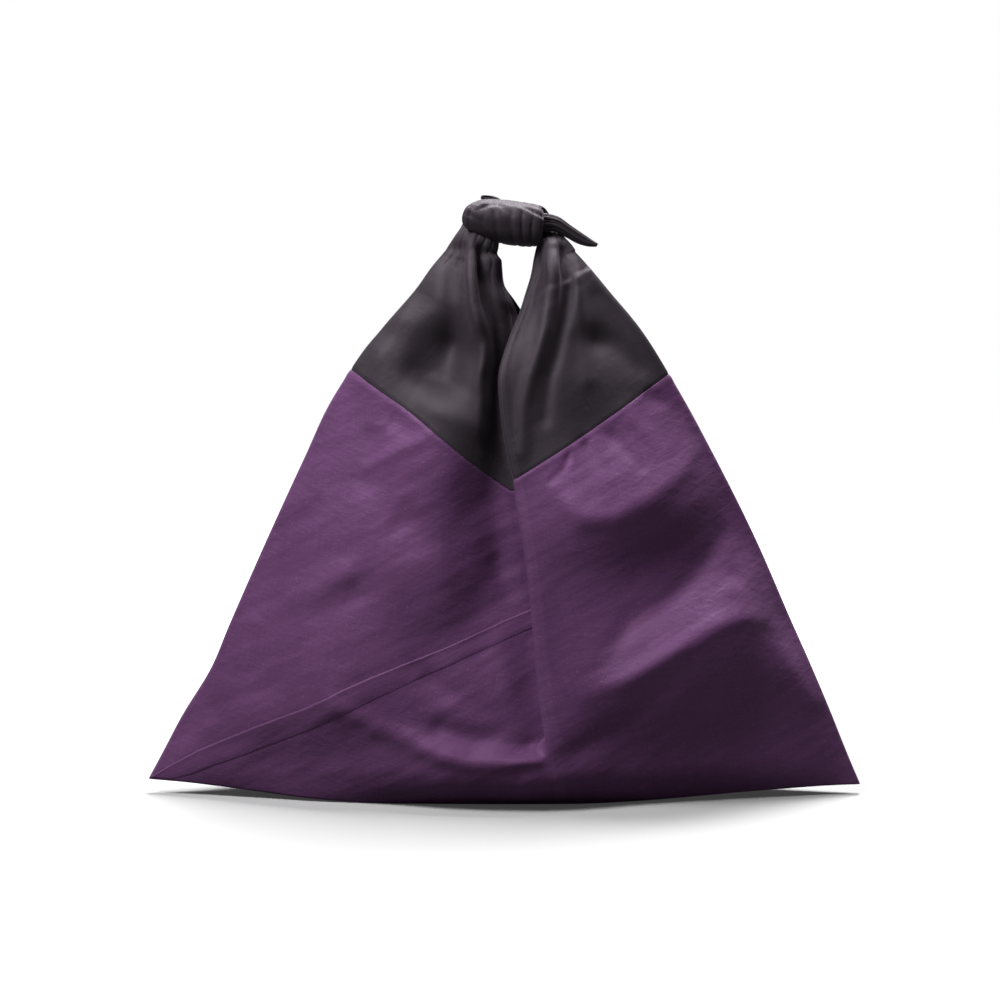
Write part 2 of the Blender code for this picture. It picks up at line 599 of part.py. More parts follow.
def sections_of(rows, cross_way):
    """Closed rings along a strand, STRAND_STEPS for each row. cross_way gives each ring's wide side's direction."""
    count = len(rows)
    at = np.linspace(0, count - 1, (count - 1) * STRAND_STEPS + 1)
    places = np.arange(count, dtype=float)
    middle = np.stack([smooth(at, places, np.array([row[k] for row in rows], float)) for k in range(3)], 1)
    wide = smooth(at, places, np.array([row[3] for row in rows], float))
    thick = smooth(at, places, np.array([row[4] for row in rows], float))
    along = np.gradient(middle, axis=0)
    angles = np.linspace(0, 2 * math.pi, STRAND_SIDES, endpoint=False)
    cos, sin = np.cos(angles), np.sin(angles)
    # A little squarer than an ellipse, as bunched cloth is.
    square = 1 / (np.abs(cos) ** 2.6 + np.abs(sin) ** 2.6) ** (1 / 2.6)
    rings = []
    for i in range(len(at)):
        across, up = cross_way(at[i], along[i])
        rings.append(
            middle[i]
            + np.outer(square * cos * wide[i] / 2, across)
            + np.outer(square * sin * thick[i] / 2, up)
        )
    return rings


def build_strand(name, rings):
    points, faces = [], []
    for ring in rings:
        points.extend(ring)
    sides = len(rings[0])
    for i in range(len(rings) - 1):
        for k in range(sides):
            a, b = i * sides + k, i * sides + (k + 1) % sides
            faces.append((a, b, b + sides, a + sides))
    last = (len(rings) - 1) * sides
    faces.append(tuple(reversed(range(sides))))
    faces.append(tuple(range(last, last + sides)))
    made = make_object(name, points, faces, DARK)
    made.hide_render = True
    made.display_type = "WIRE"
    return made


def unit(vector):
    return vector / np.linalg.norm(vector)


def left_cross_way(at, along):
    """Square to the strand, with the wide side in the knot's own plane."""
    across = unit(np.cross(along, (0.0, 1.0, 0.0)))
    return across, unit(np.cross(along, across))


def right_cross_way(at, along):
    """Level as it climbs, then along the left strand, whichever way it drifts as it winds round it."""
    wound = float(ease(at - len(RIGHT_CLIMB) + 1))
    heading = unit(np.array((0.0, along[1], along[2]))) * wound + np.array((0.0, 0.0, 1.0)) * (1 - wound)
    across = np.array((1.0, 0.0, CORE_LEAN * wound))
    across = unit(across - unit(heading) * (across @ unit(heading)))
    return across, unit(np.cross(heading, across))


def core_line(x):
    """The y and z of the left strand's middle inside the wrap."""
    rows = [row for row in LEFT_STRAND if row.z > 460]
    places = np.array([row.x for row in rows], float)
    order = np.argsort(places)
    y, z = (np.array([row[k] for row in rows], float)[order] for k in (1, 2))
    return smooth(x, places[order], y), smooth(x, places[order], z)


def wrap_rows():
    rows = list(RIGHT_CLIMB)
    for row in RIGHT_WRAP:
        y, z = core_line(np.clip(row.x, -10, 34))
        away = CORE_ROUND + WRAP_SPACE + row.thick / 2
        angle = math.radians(row.turn)
        rows.append(Strand(row.x, y + away * math.sin(angle), z + away * math.cos(angle), row.wide, row.thick))
    return [*rows, *RIGHT_TIP]


def join(sheet, strand):
    union = sheet.modifiers.new("knotted end", "BOOLEAN")
    union.operation = "UNION"
    union.object = strand


def settle(pieces):
    """Moves the pieces together, so that the origin lies under the middle of them all."""
    ends = np.array([vertex.co for piece in pieces for vertex in piece.data.vertices])
    middle = (ends.min(0) + ends.max(0)) / 2
    for piece in pieces:
        for vertex in piece.data.vertices:
            vertex.co.x -= middle[0]
            vertex.co.y -= middle[1]


def main():
    for found in list(bpy.data.objects):
        bpy.data.objects.remove(found)
    front = Face(False, FRONT_MOUTH, FRONT_INNER_LEAF, FRONT_OUTER_LEAF, FRONT_INNER_FOLDS, FRONT_OUTER_FOLDS)
    back = Face(True, BACK_MOUTH, BACK_INNER_LEAF, BACK_OUTER_LEAF, BACK_INNER_FOLDS, BACK_OUTER_FOLDS)
    body = build_body(front, back)
    left = build_leaves("horn_left", front, back)
    right = build_leaves("horn_right", back, front)
    left_rings = [*bunch_rings(front, back, -1), *sections_of(LEFT_STRAND, left_cross_way)]
    right_rings = [*bunch_rings(back, front, 1), *sections_of(wrap_rows(), right_cross_way)]
    left_strand = build_strand("left_strand", left_rings)
    right_strand = build_strand("right_strand", right_rings)
    settle((body, left, right, left_strand, right_strand))
    join(left, left_strand)
    join(right, right_strand)


main()
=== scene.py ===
import math
from collections import namedtuple

import bmesh
import bpy
import numpy as np
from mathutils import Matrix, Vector, noise
from mathutils.bvhtree import BVHTree
from mathutils.kdtree import KDTree


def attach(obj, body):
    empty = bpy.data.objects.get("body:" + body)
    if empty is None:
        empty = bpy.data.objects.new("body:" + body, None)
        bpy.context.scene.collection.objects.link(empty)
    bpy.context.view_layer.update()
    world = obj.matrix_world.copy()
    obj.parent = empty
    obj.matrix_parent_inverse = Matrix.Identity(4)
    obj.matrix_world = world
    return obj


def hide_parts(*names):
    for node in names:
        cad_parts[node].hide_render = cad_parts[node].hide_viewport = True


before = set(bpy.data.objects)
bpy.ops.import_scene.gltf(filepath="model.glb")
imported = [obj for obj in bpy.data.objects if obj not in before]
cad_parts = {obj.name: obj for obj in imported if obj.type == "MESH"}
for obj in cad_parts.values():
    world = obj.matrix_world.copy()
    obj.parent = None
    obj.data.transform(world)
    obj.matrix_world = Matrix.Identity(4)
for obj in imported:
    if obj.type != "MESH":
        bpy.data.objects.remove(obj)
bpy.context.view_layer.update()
mm = 0.001
print("frame loaded")

# An azuma bag, seen a little from above. All tables are in millimetres: +X right, +Y away, +Z up.
# A table's share runs from the base of the bag, 0, to the knot, 1.

bag = {
    "cloth": 1.1,          # thickness of the cloth as it is drawn
    "thinnest": 0.1,       # least share of that thickness, at corners and points
    "lipTurn": 3.0,        # radius of the outer leaf's fold
    "tuckTurn": 1.8,       # radius of the inner leaf's fold
    "pleatDeep": 11.6,     # from the outer leaf to the inner one behind it
    "pleatFrom": 18.0,     # how far the leaves stay short of each other where the pleat starts
    "pleatOver": 10.0,     # and how much nearer they come until it is whole
    "openOver": 8.0,       # the same above the notch
    "pleatMargin": 5.0,    # the inner leaf's even columns start this far before its fold
    "softStep": 0.6,       # a pleat that turns less than this, in radians, is a soft step
    "dropLong": 90.0,      # length over which the inner leaf sags towards the mouth
    "flankHeights": (250, 320), "flankWide": (26, 15),    # how gently it dives under the outer leaf
    "rowBend": 1.6, "rowFade": 0.07,    # how soon the lowest rows leave the side's height
    "sideTurn": 3.0,       # radius of the fold at the sides
    "sideSpread": 8.0,     # how soon the two faces part beyond it
    "sideLean": 25.0,      # how far inwards the side's lean to the front or back is felt
    "hullRound": 34.0,     # height over which the underside turns up
    "seamShare": 0.60,     # level of the seam between purple and dark
    "notchShare": 0.565,   # level at which the mouth opens
}
closeEnough = 1e-6    # shares that differ by less are the same

sight = {"far": 1900.0, "fall": 0.126}    # the camera's distance, and how much it looks down

Level = namedtuple("Level", "share leftX leftY leftZ rightX rightY rightZ mouthZ")
levels = (
    Level(0.00, -290, 2, 12, 290, -2, 8.5, 0),
    Level(0.06, -277, 2, 36, 279, -2, 34, 22),
    Level(0.12, -262, 1, 64, 266, -2, 66, 48),
    Level(0.20, -238, -2, 103, 249, 0, 106, 84),
    Level(0.28, -222, -3, 140, 232, 3, 144, 122),
    Level(0.38, -193, -1, 205, 205, 3, 205, 168),
    Level(0.50, -160, 2, 276, 169, 0, 276, 219),
    Level(0.565, -139, 3, 320, 145, -1, 320, 248),
    Level(0.60, -123, 3, 345.5, 132, -1, 342, 263),
    Level(0.70, -98, 2, 378, 109, 0, 378, 310),
    Level(0.80, -72, 0, 408, 84, 2, 408, 356),
    Level(0.90, -58, -1, 427, 68, 2, 427, 400),
    Level(1.00, -47, 0, 440, 57, 1, 439, 432),
)

# The lip is the fold of the outer leaf, and the tuck the fold or edge of the leaf behind it, which
# hangs lower there by drop. apart is the room between the two beyond the pleat's own.
Mouth = namedtuple("Mouth", "height lipX tuckX curl lipHem tuckHem apart drop")
frontMouth = (
    Mouth(0, 42, 16, 1, 0, 0, 0, 0),
    Mouth(22, 40, 16, 1, 0, 0, 0, 0),
    Mouth(36, 38.4, 17, 1, 0, 0, 0, 0),
    Mouth(44, 37.2, 21, 1, 0, 0, 0, 0),
    Mouth(52, 36.0, 25, 1, 0, 0, 0, 0),
    Mouth(64, 34, 34, 1, 0, 0, 1, 0),
    Mouth(85, 31, 41.5, 1, 0, 0, 3, 1),
    Mouth(120, 27, 47, 1, 0, 0, 7, 3),
    Mouth(168, 23, 52, 1, 0, 0, 11, 6),
    Mouth(210, 18, 52, 1, 0, 0, 12, 9),
    Mouth(248, 11.5, 46, 1, 16, 16, 10, 12),
    Mouth(263, 10, 38, 0.8, 9, 6, 9, 12),
    Mouth(290, 4, 29, 0.65, 5, 3, 10, 10),
    Mouth(318, 0, 20, 0.55, 3, 2, 11, 7),
    Mouth(345, -1, 13, 0.5, 2, 1.5, 10, 4),
    Mouth(372, 7.0, 8, 0.5, 1.5, 1.2, 8, 1.5),
    Mouth(392, 15.8, 3, 0.45, 1.5, 1, 5, 0),
    Mouth(408, 20.9, -2, 0.4, 1.5, 1, 4, 0),
    Mouth(424, 25.2, -6, 0.35, 1.5, 1.2, 3, 0),
    Mouth(440, 27.7, -6.8, 0.3, 1.5, 1.2, 2, 0),
)
backMouth = (
    Mouth(0, 30, 8, 1, 0, 0, 0, 0),
    Mouth(22, 28, 10, 1, 0, 0, 0, 0),
    Mouth(30, 27, 15, 1, 0, 0, 0, 0),
    Mouth(40, 25.5, 22.5, 1, 0, 0, 0, 0),
    Mouth(60, 24, 27, 1, 0, 0, 0, 0),
    Mouth(85, 21.5, 32, 1, 0, 0, 0, 0),
    Mouth(120, 18, 38, 1, 0, 0, 0, 0),
    Mouth(168, 14, 43, 1, 0, 0, 0, 0),
    Mouth(210, 10, 43, 1, 0, 0, 0, 0),
    Mouth(248, 5, 38, 1, 16.5, 16.5, 0, 0),
    Mouth(263, 2, 33, 0.8, 9, 6, 2.5, 0),
    Mouth(290, -6, 24, 0.65, 5, 3, 4, 0),
    Mouth(318, -13, 14, 0.55, 3, 2, 6, 0),
    Mouth(345, -17, 4, 0.5, 2, 1.5, 6, 0),
    Mouth(372, -17, -9, 0.5, 1.5, 1.2, 6, 0),
    Mouth(386, -13.5, -15, 0.45, 1.5, 1, 5, 0),
    Mouth(400, -5, -20.5, 0.4, 1.5, 1, 4, 0),
    Mouth(412, 3, -24, 0.37, 1.5, 1, 3.5, 0),
    Mouth(425, 5.2, -27, 0.33, 1.5, 1.2, 3, 0),
    Mouth(440, 5.8, -29.5, 0.3, 1.5, 1.2, 2, 0),
)

# How far the cloth stands out from the middle plane, at chosen places of each leaf.
Place = namedtuple("Place", "x z out")
frontInnerLeaf = (
    Place(-290, 12, 0), Place(-262, 64, 0), Place(-222, 140, 0), Place(-193, 205, 0),
    Place(-160, 276, 0), Place(-123, 345, 0), Place(-98, 378, 0), Place(-72, 408, 0),
    Place(-46, 440, 0), Place(-248, 20, 14), Place(-191, 36, 25), Place(-196, 62, 31),
    Place(-134, 46, 42), Place(-142, 82, 51), Place(-95, 40, 53), Place(-60, 36, 66), Place(0, 30, 72),
    Place(-60, 72, 63), Place(-3, 62, 65), Place(-68, 97, 57), Place(5, 100, 59), Place(-60, 122, 53),
    Place(10, 148, 41), Place(-190, 90, 28), Place(-150, 130, 40), Place(-101, 162, 49),
    Place(-52, 195, 55), Place(-31, 202, 45), Place(-14, 198, 37), Place(-2, 195, 32),
    Place(-46, 162, 54), Place(-20, 160, 41), Place(-134, 240, 26), Place(-85, 230, 45),
    Place(-85, 283, 35), Place(-45, 262, 48), Place(-16, 245, 31), Place(-84, 390, 10),
    Place(-101, 362, 13), Place(-74, 352, 14), Place(-112, 335, 13), Place(-58, 414, 10),
    Place(-50, 425, 9), Place(-84, 325, 23), Place(-60, 342, 13), Place(-54, 316, 37),
    Place(-22, 302, 40), Place(-4, 300, 30), Place(-60, 390, 15), Place(-40, 368, 9),
    Place(-24, 382, 29), Place(-16, 350, 35), Place(-5, 374, 24), Place(-38, 430, 8),
    Place(-20, 432, 15), Place(-6, 432, 11), Place(-22, 446, 10),
)
frontOuterLeaf = (
    Place(290, 7, 0), Place(266, 66, 0), Place(232, 144, 0), Place(205, 205, 0), Place(169, 276, 0),
    Place(133, 339, 0), Place(109, 378, 0), Place(84, 408, 0), Place(56, 440, 0), Place(37, 38, 74),
    Place(32, 80, 71), Place(27, 120, 66), Place(23, 165, 61), Place(18, 210, 56), Place(11, 248, 51),
    Place(4, 290, 46), Place(0, 318, 43), Place(-1, 345, 40), Place(3, 372, 36), Place(15, 400, 27),
    Place(26, 425, 16), Place(29, 440, 10), Place(70, 300, 38), Place(111, 325, 16), Place(62, 232, 67),
    Place(90, 232, 66), Place(119, 247, 54), Place(148, 268, 24), Place(60, 190, 58),
    Place(111, 195, 52), Place(150, 222, 36), Place(78, 125, 66), Place(100, 146, 60),
    Place(139, 170, 47), Place(160, 192, 29), Place(175, 215, 16), Place(188, 200, 14),
    Place(67, 88, 72), Place(100, 103, 75), Place(139, 126, 72), Place(172, 145, 57),
    Place(194, 152, 42), Place(210, 147, 27), Place(232, 110, 20), Place(253, 78, 11),
    Place(66, 40, 66), Place(98, 44, 56), Place(150, 62, 50), Place(160, 95, 60), Place(205, 100, 40),
    Place(209, 66, 29), Place(240, 40, 18), Place(262, 50, 8), Place(70, 342, 29), Place(46, 300, 44),
    Place(54, 388, 22), Place(34, 382, 31), Place(74, 370, 14), Place(76, 398, 11), Place(61, 424, 8),
    Place(46, 430, 11),
)
backInnerLeaf = (
    Place(-290, 7, 0), Place(-266, 66, 0), Place(-232, 144, 0), Place(-205, 205, 0),
    Place(-169, 276, 0), Place(-133, 339, 0), Place(-109, 378, 0), Place(-84, 408, 0),
    Place(-56, 440, 0), Place(-248, 20, 13), Place(-185, 38, 34), Place(-120, 52, 58),
    Place(-50, 40, 72), Place(5, 36, 74), Place(-190, 95, 28), Place(-110, 110, 56),
    Place(-20, 110, 62), Place(-150, 160, 38), Place(-60, 190, 52), Place(-100, 235, 40),
    Place(-10, 200, 48), Place(-30, 262, 43), Place(-85, 300, 29), Place(-30, 318, 38),
    Place(-70, 370, 17), Place(-35, 382, 29), Place(-46, 428, 9), Place(-30, 432, 13),
)
backOuterLeaf = (
    Place(290, 12, 0), Place(262, 64, 0), Place(222, 140, 0), Place(193, 205, 0), Place(160, 276, 0),
    Place(126, 342, 0), Place(98, 378, 0), Place(72, 408, 0), Place(46, 440, 0), Place(26, 38, 75),
    Place(18, 120, 68), Place(10, 210, 57), Place(5, 248, 51), Place(-6, 290, 45), Place(-16, 330, 40),
    Place(-17, 372, 34), Place(-12, 400, 26), Place(-2, 425, 15), Place(3, 440, 10), Place(70, 66, 77),
    Place(140, 90, 62), Place(200, 60, 34), Place(235, 28, 20), Place(80, 150, 66), Place(150, 160, 42),
    Place(60, 225, 60), Place(120, 235, 36), Place(50, 295, 43), Place(90, 330, 20), Place(25, 345, 38),
    Place(50, 385, 20), Place(22, 425, 15), Place(38, 428, 8),
)

# How far the base reaches forward and back, and how far it lifts off the table.
Base = namedtuple("Base", "x reach lift")
base = (
    Base(-290, 0, 12), Base(-262, 5, 11), Base(-225, 12, 8.4), Base(-190, 19, 5.2), Base(-160, 26, 2.8),
    Base(-110, 33, 0.4), Base(-60, 35, 0), Base(0, 36, 0), Base(60, 35, 0), Base(110, 31, 1.6),
    Base(160, 23, 4.0), Base(190, 18, 5.6), Base(225, 12, 7.0), Base(262, 5, 8.2), Base(290, 0, 8.5),
)

# Soft ridges and, where tall is negative, troughs. tall fades to end times itself along the path.
Crease = namedtuple("Crease", "path tall wide end")
frontInnerFolds = (
    # the gathers below the knot
    Crease(((-25, 452), (-26, 425), (-25, 400), (-22, 380), (-17, 362), (-12, 342), (-10, 322)),
           10.5, 6.5, 0.4),
    Crease(((-20, 452), (-19, 425), (-16, 403), (-9, 384), (-6, 364), (-3, 345), (-1, 326)),
           -9.0, 4.6, 0.8),
    Crease(((-10, 440), (-6, 414), (-2, 394)), 5.0, 5.5, 0.3),
    Crease(((-36, 452), (-38, 420), (-38, 390), (-41, 360), (-45, 340)), -8.0, 10, 0.5),
    Crease(((-78, 396), (-90, 376), (-104, 354), (-117, 336)), 2.4, 6, 0.8),
    Crease(((-84, 352), (-70, 346), (-54, 337), (-40, 336), (-24, 326)), -2.6, 10, 0.5),
    Crease(((-74, 330), (-50, 318), (-20, 304)), 4.0, 10, 0.6),
    # the purple leaf
    Crease(((-92, 312), (-74, 296)), -2.6, 8, 0.4),
    Crease(((-60, 296), (-82, 286), (-110, 270)), 2.4, 5, 0.4),
    Crease(((-104, 304), (-112, 262)), -3.0, 9, 0.5),
    Crease(((-118, 190), (-138, 181), (-170, 166)), 4.0, 9, 0.4),
    Crease(((-110, 172), (-150, 152)), -3.0, 9, 0.5),
    Crease(((-152, 232), (-196, 208)), -2.0, 6, 0.5),
    Crease(((-140, 254), (-186, 230)), 2.0, 7, 0.5),
    Crease(((-90, 240), (-40, 200)), -3.0, 14, 0.5),
    Crease(((-232, 78), (-250, 46)), -2.2, 6, 0.5),
    Crease(((-236, 62), (-262, 34)), 2.0, 6, 0.5),
    Crease(((-175, 240), (-120, 256), (-70, 262)), -1.8, 11, 0.5),
    Crease(((-200, 150), (-215, 120)), 2.0, 12, 0.6),
    Crease(((-10, 205), (22, 150)), -4.0, 12, 0.25),
    Crease(((20, 240), (-4, 222)), 2.2, 4.0, 0.1),
    Crease(((22, 215), (-2, 202)), -2.0, 4.0, 0.1),
    Crease(((24, 192), (2, 180)), 2.4, 4.5, 0.1),
    Crease(((26, 172), (-6, 158)), -2.2, 5.0, 0.1),
    # below the long seam
    Crease(((-70, 109), (-46, 91), (-22, 79)), -3.0, 8, 0.4),
    Crease(((-64, 64), (-28, 53), (2, 52)), -5.5, 8.5, 0.3),
    Crease(((54, 52), (37, 44), (4, 36), (-27, 33.5), (-57, 41), (-92, 57), (-136, 77)), 8.5, 8.5, 0.35),
)
frontOuterFolds = (
    # the gathers below the knot
    Crease(((38, 454), (39, 421), (37, 402), (34, 383), (28, 364), (21, 344), (16, 322), (14, 284)),
           8.5, 6.0, 0.3),
    Crease(((46, 456), (49, 430), (50, 412), (47, 387), (42, 364), (36, 344), (32, 310)), -9.0, 5.6, 0.25),
    Crease(((56, 434), (60, 400), (64, 368), (66, 340)), 4.5, 6.5, 0.4),
    Crease(((64, 412), (84, 388), (104, 356)), -3.0, 12, 0.4),
    Crease(((62, 374), (88, 366), (108, 348)), -4.0, 9, 0.6),
    Crease(((28, 444), (25, 418), (21, 398), (12, 374)), -4.5, 3.4, 0.3),
    # the upper swell and the hollow under it
    Crease(((41, 256), (62, 233), (88, 233), (117, 247), (148, 270), (153, 283)), 3.5, 9, 0.8),
    Crease(((110, 196), (150, 216), (182, 240)), -3.0, 14, 0.8),
    # the long ridge across the middle
    Crease(((67, 90), (100, 102), (139, 126), (172, 145), (194, 151), (210, 146), (220, 133), (232, 109),
            (253, 78)), 4.5, 8, 0.5),
    Crease(((78, 112), (100, 145), (139, 169), (160, 191), (175, 216)), -2.5, 9, 1.0),
    Crease(((40, 32), (100, 66), (146, 110)), -3.5, 10, 0.5),
    # small puckers along the seam
    Crease(((62, 294), (74, 276)), -2.4, 4.5, 0.4),
    Crease(((70, 297), (86, 266)), 1.6, 5, 0.3),
    Crease(((81, 301), (110, 272)), -2.6, 5, 0.4),
    Crease(((96, 316), (130, 280)), 2.0, 7, 0.3),
    Crease(((110, 329), (140, 314)), -3.0, 7, 0.6),
    Crease(((53, 285), (48, 272), (37, 262)), -1.8, 2.6, 0.6),
    Crease(((180, 186), (198, 172)), -2.2, 5, 0.4),
    Crease(((176, 170), (205, 182)), 1.6, 6, 0.4),
    Crease(((208, 140), (226, 128)), -1.8, 5, 0.5),
)
backInnerFolds = (
    Crease(((-44, 444), (-52, 340)), 5.0, 8, 0.25),
    Crease(((-36, 444), (-30, 330)), -5.0, 7, 0.25),
    Crease(((-29, 444), (-12, 340)), 4.5, 8, 0.25),
    Crease(((-150, 120), (-20, 160)), -3.0, 14, 0.25),
)
backOuterFolds = (
    Crease(((10, 444), (-4, 340)), 6.0, 9, 0.25),
    Crease(((18, 444), (20, 320)), -5.0, 8, 0.25),
    Crease(((27, 444), (48, 330)), 4.0, 9, 0.25),
    Crease(((40, 80), (180, 120)), 3.5, 14, 0.25),
    Crease(((60, 235), (130, 200)), -3.0, 14, 0.25),
)

# How many columns and rows each stretch of cloth has.
grain = {
    "leafColumns": 80, "sideColumns": 6, "tuckColumns": 8, "turnColumns": 6, "hemColumns": 4,
    "baseRows": 12, "bodyRows": 122, "notchRows": 6, "hornRows": 74, "ringStep": 1.4,
    "leafSpread": 1.08,    # above 1, a leaf's columns lie closer together near the side
}
plate = {"unit": 100, "soft": 0.01}    # places are taken in tenths of a metre, and need not be met quite
creaseStart = {"tall": 0.35, "over": 0.2}    # a crease's height where it starts, and where it is whole


def column(table, name):
    return np.array([getattr(row, name) for row in table], float)


def smoothAt(at, places, values):
    slopes = np.gradient(values, places, axis=0)
    at = np.clip(at, places[0], places[-1])
    i = np.clip(np.searchsorted(places, at, side="right") - 1, 0, len(places) - 2)
    span = places[i + 1] - places[i]
    t = (at - places[i]) / span
    if values.ndim == 2:
        span, t = span[:, None], t[:, None]
    rise, fall = slopes[i] * span, slopes[i + 1] * span
    return (values[i] * (1 + 2 * t) * (1 - t) ** 2 + rise * t * (1 - t) ** 2
            + values[i + 1] * t * t * (3 - 2 * t) + fall * t * t * (t - 1))


def ease(t):
    t = np.clip(t, 0, 1)
    return t * t * (3 - 2 * t)


def unit(vector):
    return vector / np.linalg.norm(vector)


# A thin plate bent to pass through the places.
def bendPlate(places):
    centre = np.stack([column(places, "x"), column(places, "z")], 1) / plate["unit"]
    count = len(places)

    def kernel(at):
        far = ((at[:, None] - centre[None]) ** 2).sum(2)
        return far * np.log(far + 1e-9)

    flat = np.hstack([np.ones((count, 1)), centre])
    matrix = np.zeros((count + 3, count + 3))
    matrix[:count, :count] = kernel(centre) + plate["soft"] * np.eye(count)
    matrix[:count, count:] = flat
    matrix[count:, :count] = flat.T
    weights = np.linalg.solve(matrix, np.concatenate([column(places, "out"), np.zeros(3)]))

    def standOut(x, z):
        at = np.stack([x, z], 1) / plate["unit"]
        return kernel(at) @ weights[:count] + np.hstack([np.ones((len(at), 1)), at]) @ weights[count:]

    return standOut


def creaseHeight(creases, x, z):
    total = np.zeros_like(x)
    for crease in creases:
        path = np.array(crease.path, float)
        legs = np.linalg.norm(np.diff(path, axis=0), axis=1)
        nearest = np.full(len(x), 1e9)
        along = np.zeros(len(x))
        for i, leg in enumerate(legs):
            way = (path[i + 1] - path[i]) / leg
            t = np.clip((x - path[i, 0]) * way[0] + (z - path[i, 1]) * way[1], 0, leg)
            far = np.hypot(x - path[i, 0] - t * way[0], z - path[i, 1] - t * way[1])
            closer = far < nearest
            nearest = np.where(closer, far, nearest)
            along = np.where(closer, (legs[:i].sum() + t) / legs.sum(), along)
        risen = creaseStart["tall"] + (1 - creaseStart["tall"]) * ease(along / creaseStart["over"])
        length = (1 - (1 - crease.end) * ease(along)) * risen
        total += crease.tall * np.exp(-((nearest / crease.wide) ** 2)) * length
    return total


# How far both turns of the closed pleat go round, and the length of cloth between them.
def pleatTurn(apart, deep):
    radius = bag["lipTurn"] + bag["tuckTurn"]
    far = math.hypot(radius - deep, apart)
    end = math.atan2(apart, radius - deep) % (2 * math.pi) - math.acos(min(1.0, radius / far))
    return end, (apart - radius * math.sin(end)) / math.cos(end)


# The cloth that doubles back between the two leaves, from the tuck to the lip. Above the notch, where the
# mouth is open, it is the two hems instead.
def pleatBetween(at, tuckAt, lipAt, closed):
    lip, tuck = at["lipX"], at["tuckX"]
    end, between = pleatTurn(lip - tuck, lipAt - tuckAt) if closed else (math.pi * at["curl"], 0)
    tuckHem, lipHem = (between / 2, between / 2) if closed else (at["tuckHem"], at["lipHem"])
    turn = np.linspace(0, end, grain["turnColumns"] + 1)
    part = np.linspace(0, 1, grain["hemColumns"] + 1)
    onX, onOut = math.cos(end), math.sin(end)
    tuckX = tuck + bag["tuckTurn"] * np.sin(turn[1:])
    tuckOut = tuckAt + bag["tuckTurn"] * (1 - np.cos(turn[1:]))
    lipX = lip - bag["lipTurn"] * np.sin(turn[::-1])
    lipOut = lipAt - bag["lipTurn"] * (1 - np.cos(turn[::-1]))
    x = np.concatenate([tuckX, tuckX[-1] + onX * tuckHem * part[1:],
                        lipX[0] - onX * lipHem * part[::-1], lipX[1:]])
    if end < bag["softStep"]:
        # Under the pleat the two leaves meet in a soft step.
        part = (np.arange(len(x)) + 1) / len(x)
        return tuck + (lip - tuck) * part, tuckAt + (lipAt - tuckAt) * ease(part)
    return x, np.concatenate([tuckOut, tuckOut[-1] + onOut * tuckHem * part[1:],
                              lipOut[0] - onOut * lipHem * part[::-1], lipOut[1:]])


def leafColumns(edge, end):
    way = math.copysign(1, end - edge)
    turn = bag["sideTurn"] * (1 - np.cos(np.linspace(0, math.pi / 2, grain["sideColumns"])))
    columns = grain["leafColumns"] + 2 - grain["sideColumns"]
    beyond = np.linspace(0, 1, columns)[1:] ** grain["leafSpread"]
    first = edge + way * bag["sideTurn"]
    return np.concatenate([edge + way * turn, first + (end - first) * beyond])


# The tables' places are as the photograph shows them on the bag's middle plane. This moves one on to the
# surface that stands out in front of that plane, along the line of sight.
def nearer(x, z, out):
    return x * (1 - out / sight["far"]), z + out * (sight["fall"] - z / sight["far"])


def nearerCrease(crease, standOut):
    path = np.array(crease.path, float)
    out = np.maximum(standOut(path[:, 0], path[:, 1]), 0)
    return crease._replace(path=tuple(nearer(x, z, o) for (x, z), o in zip(path, out)))


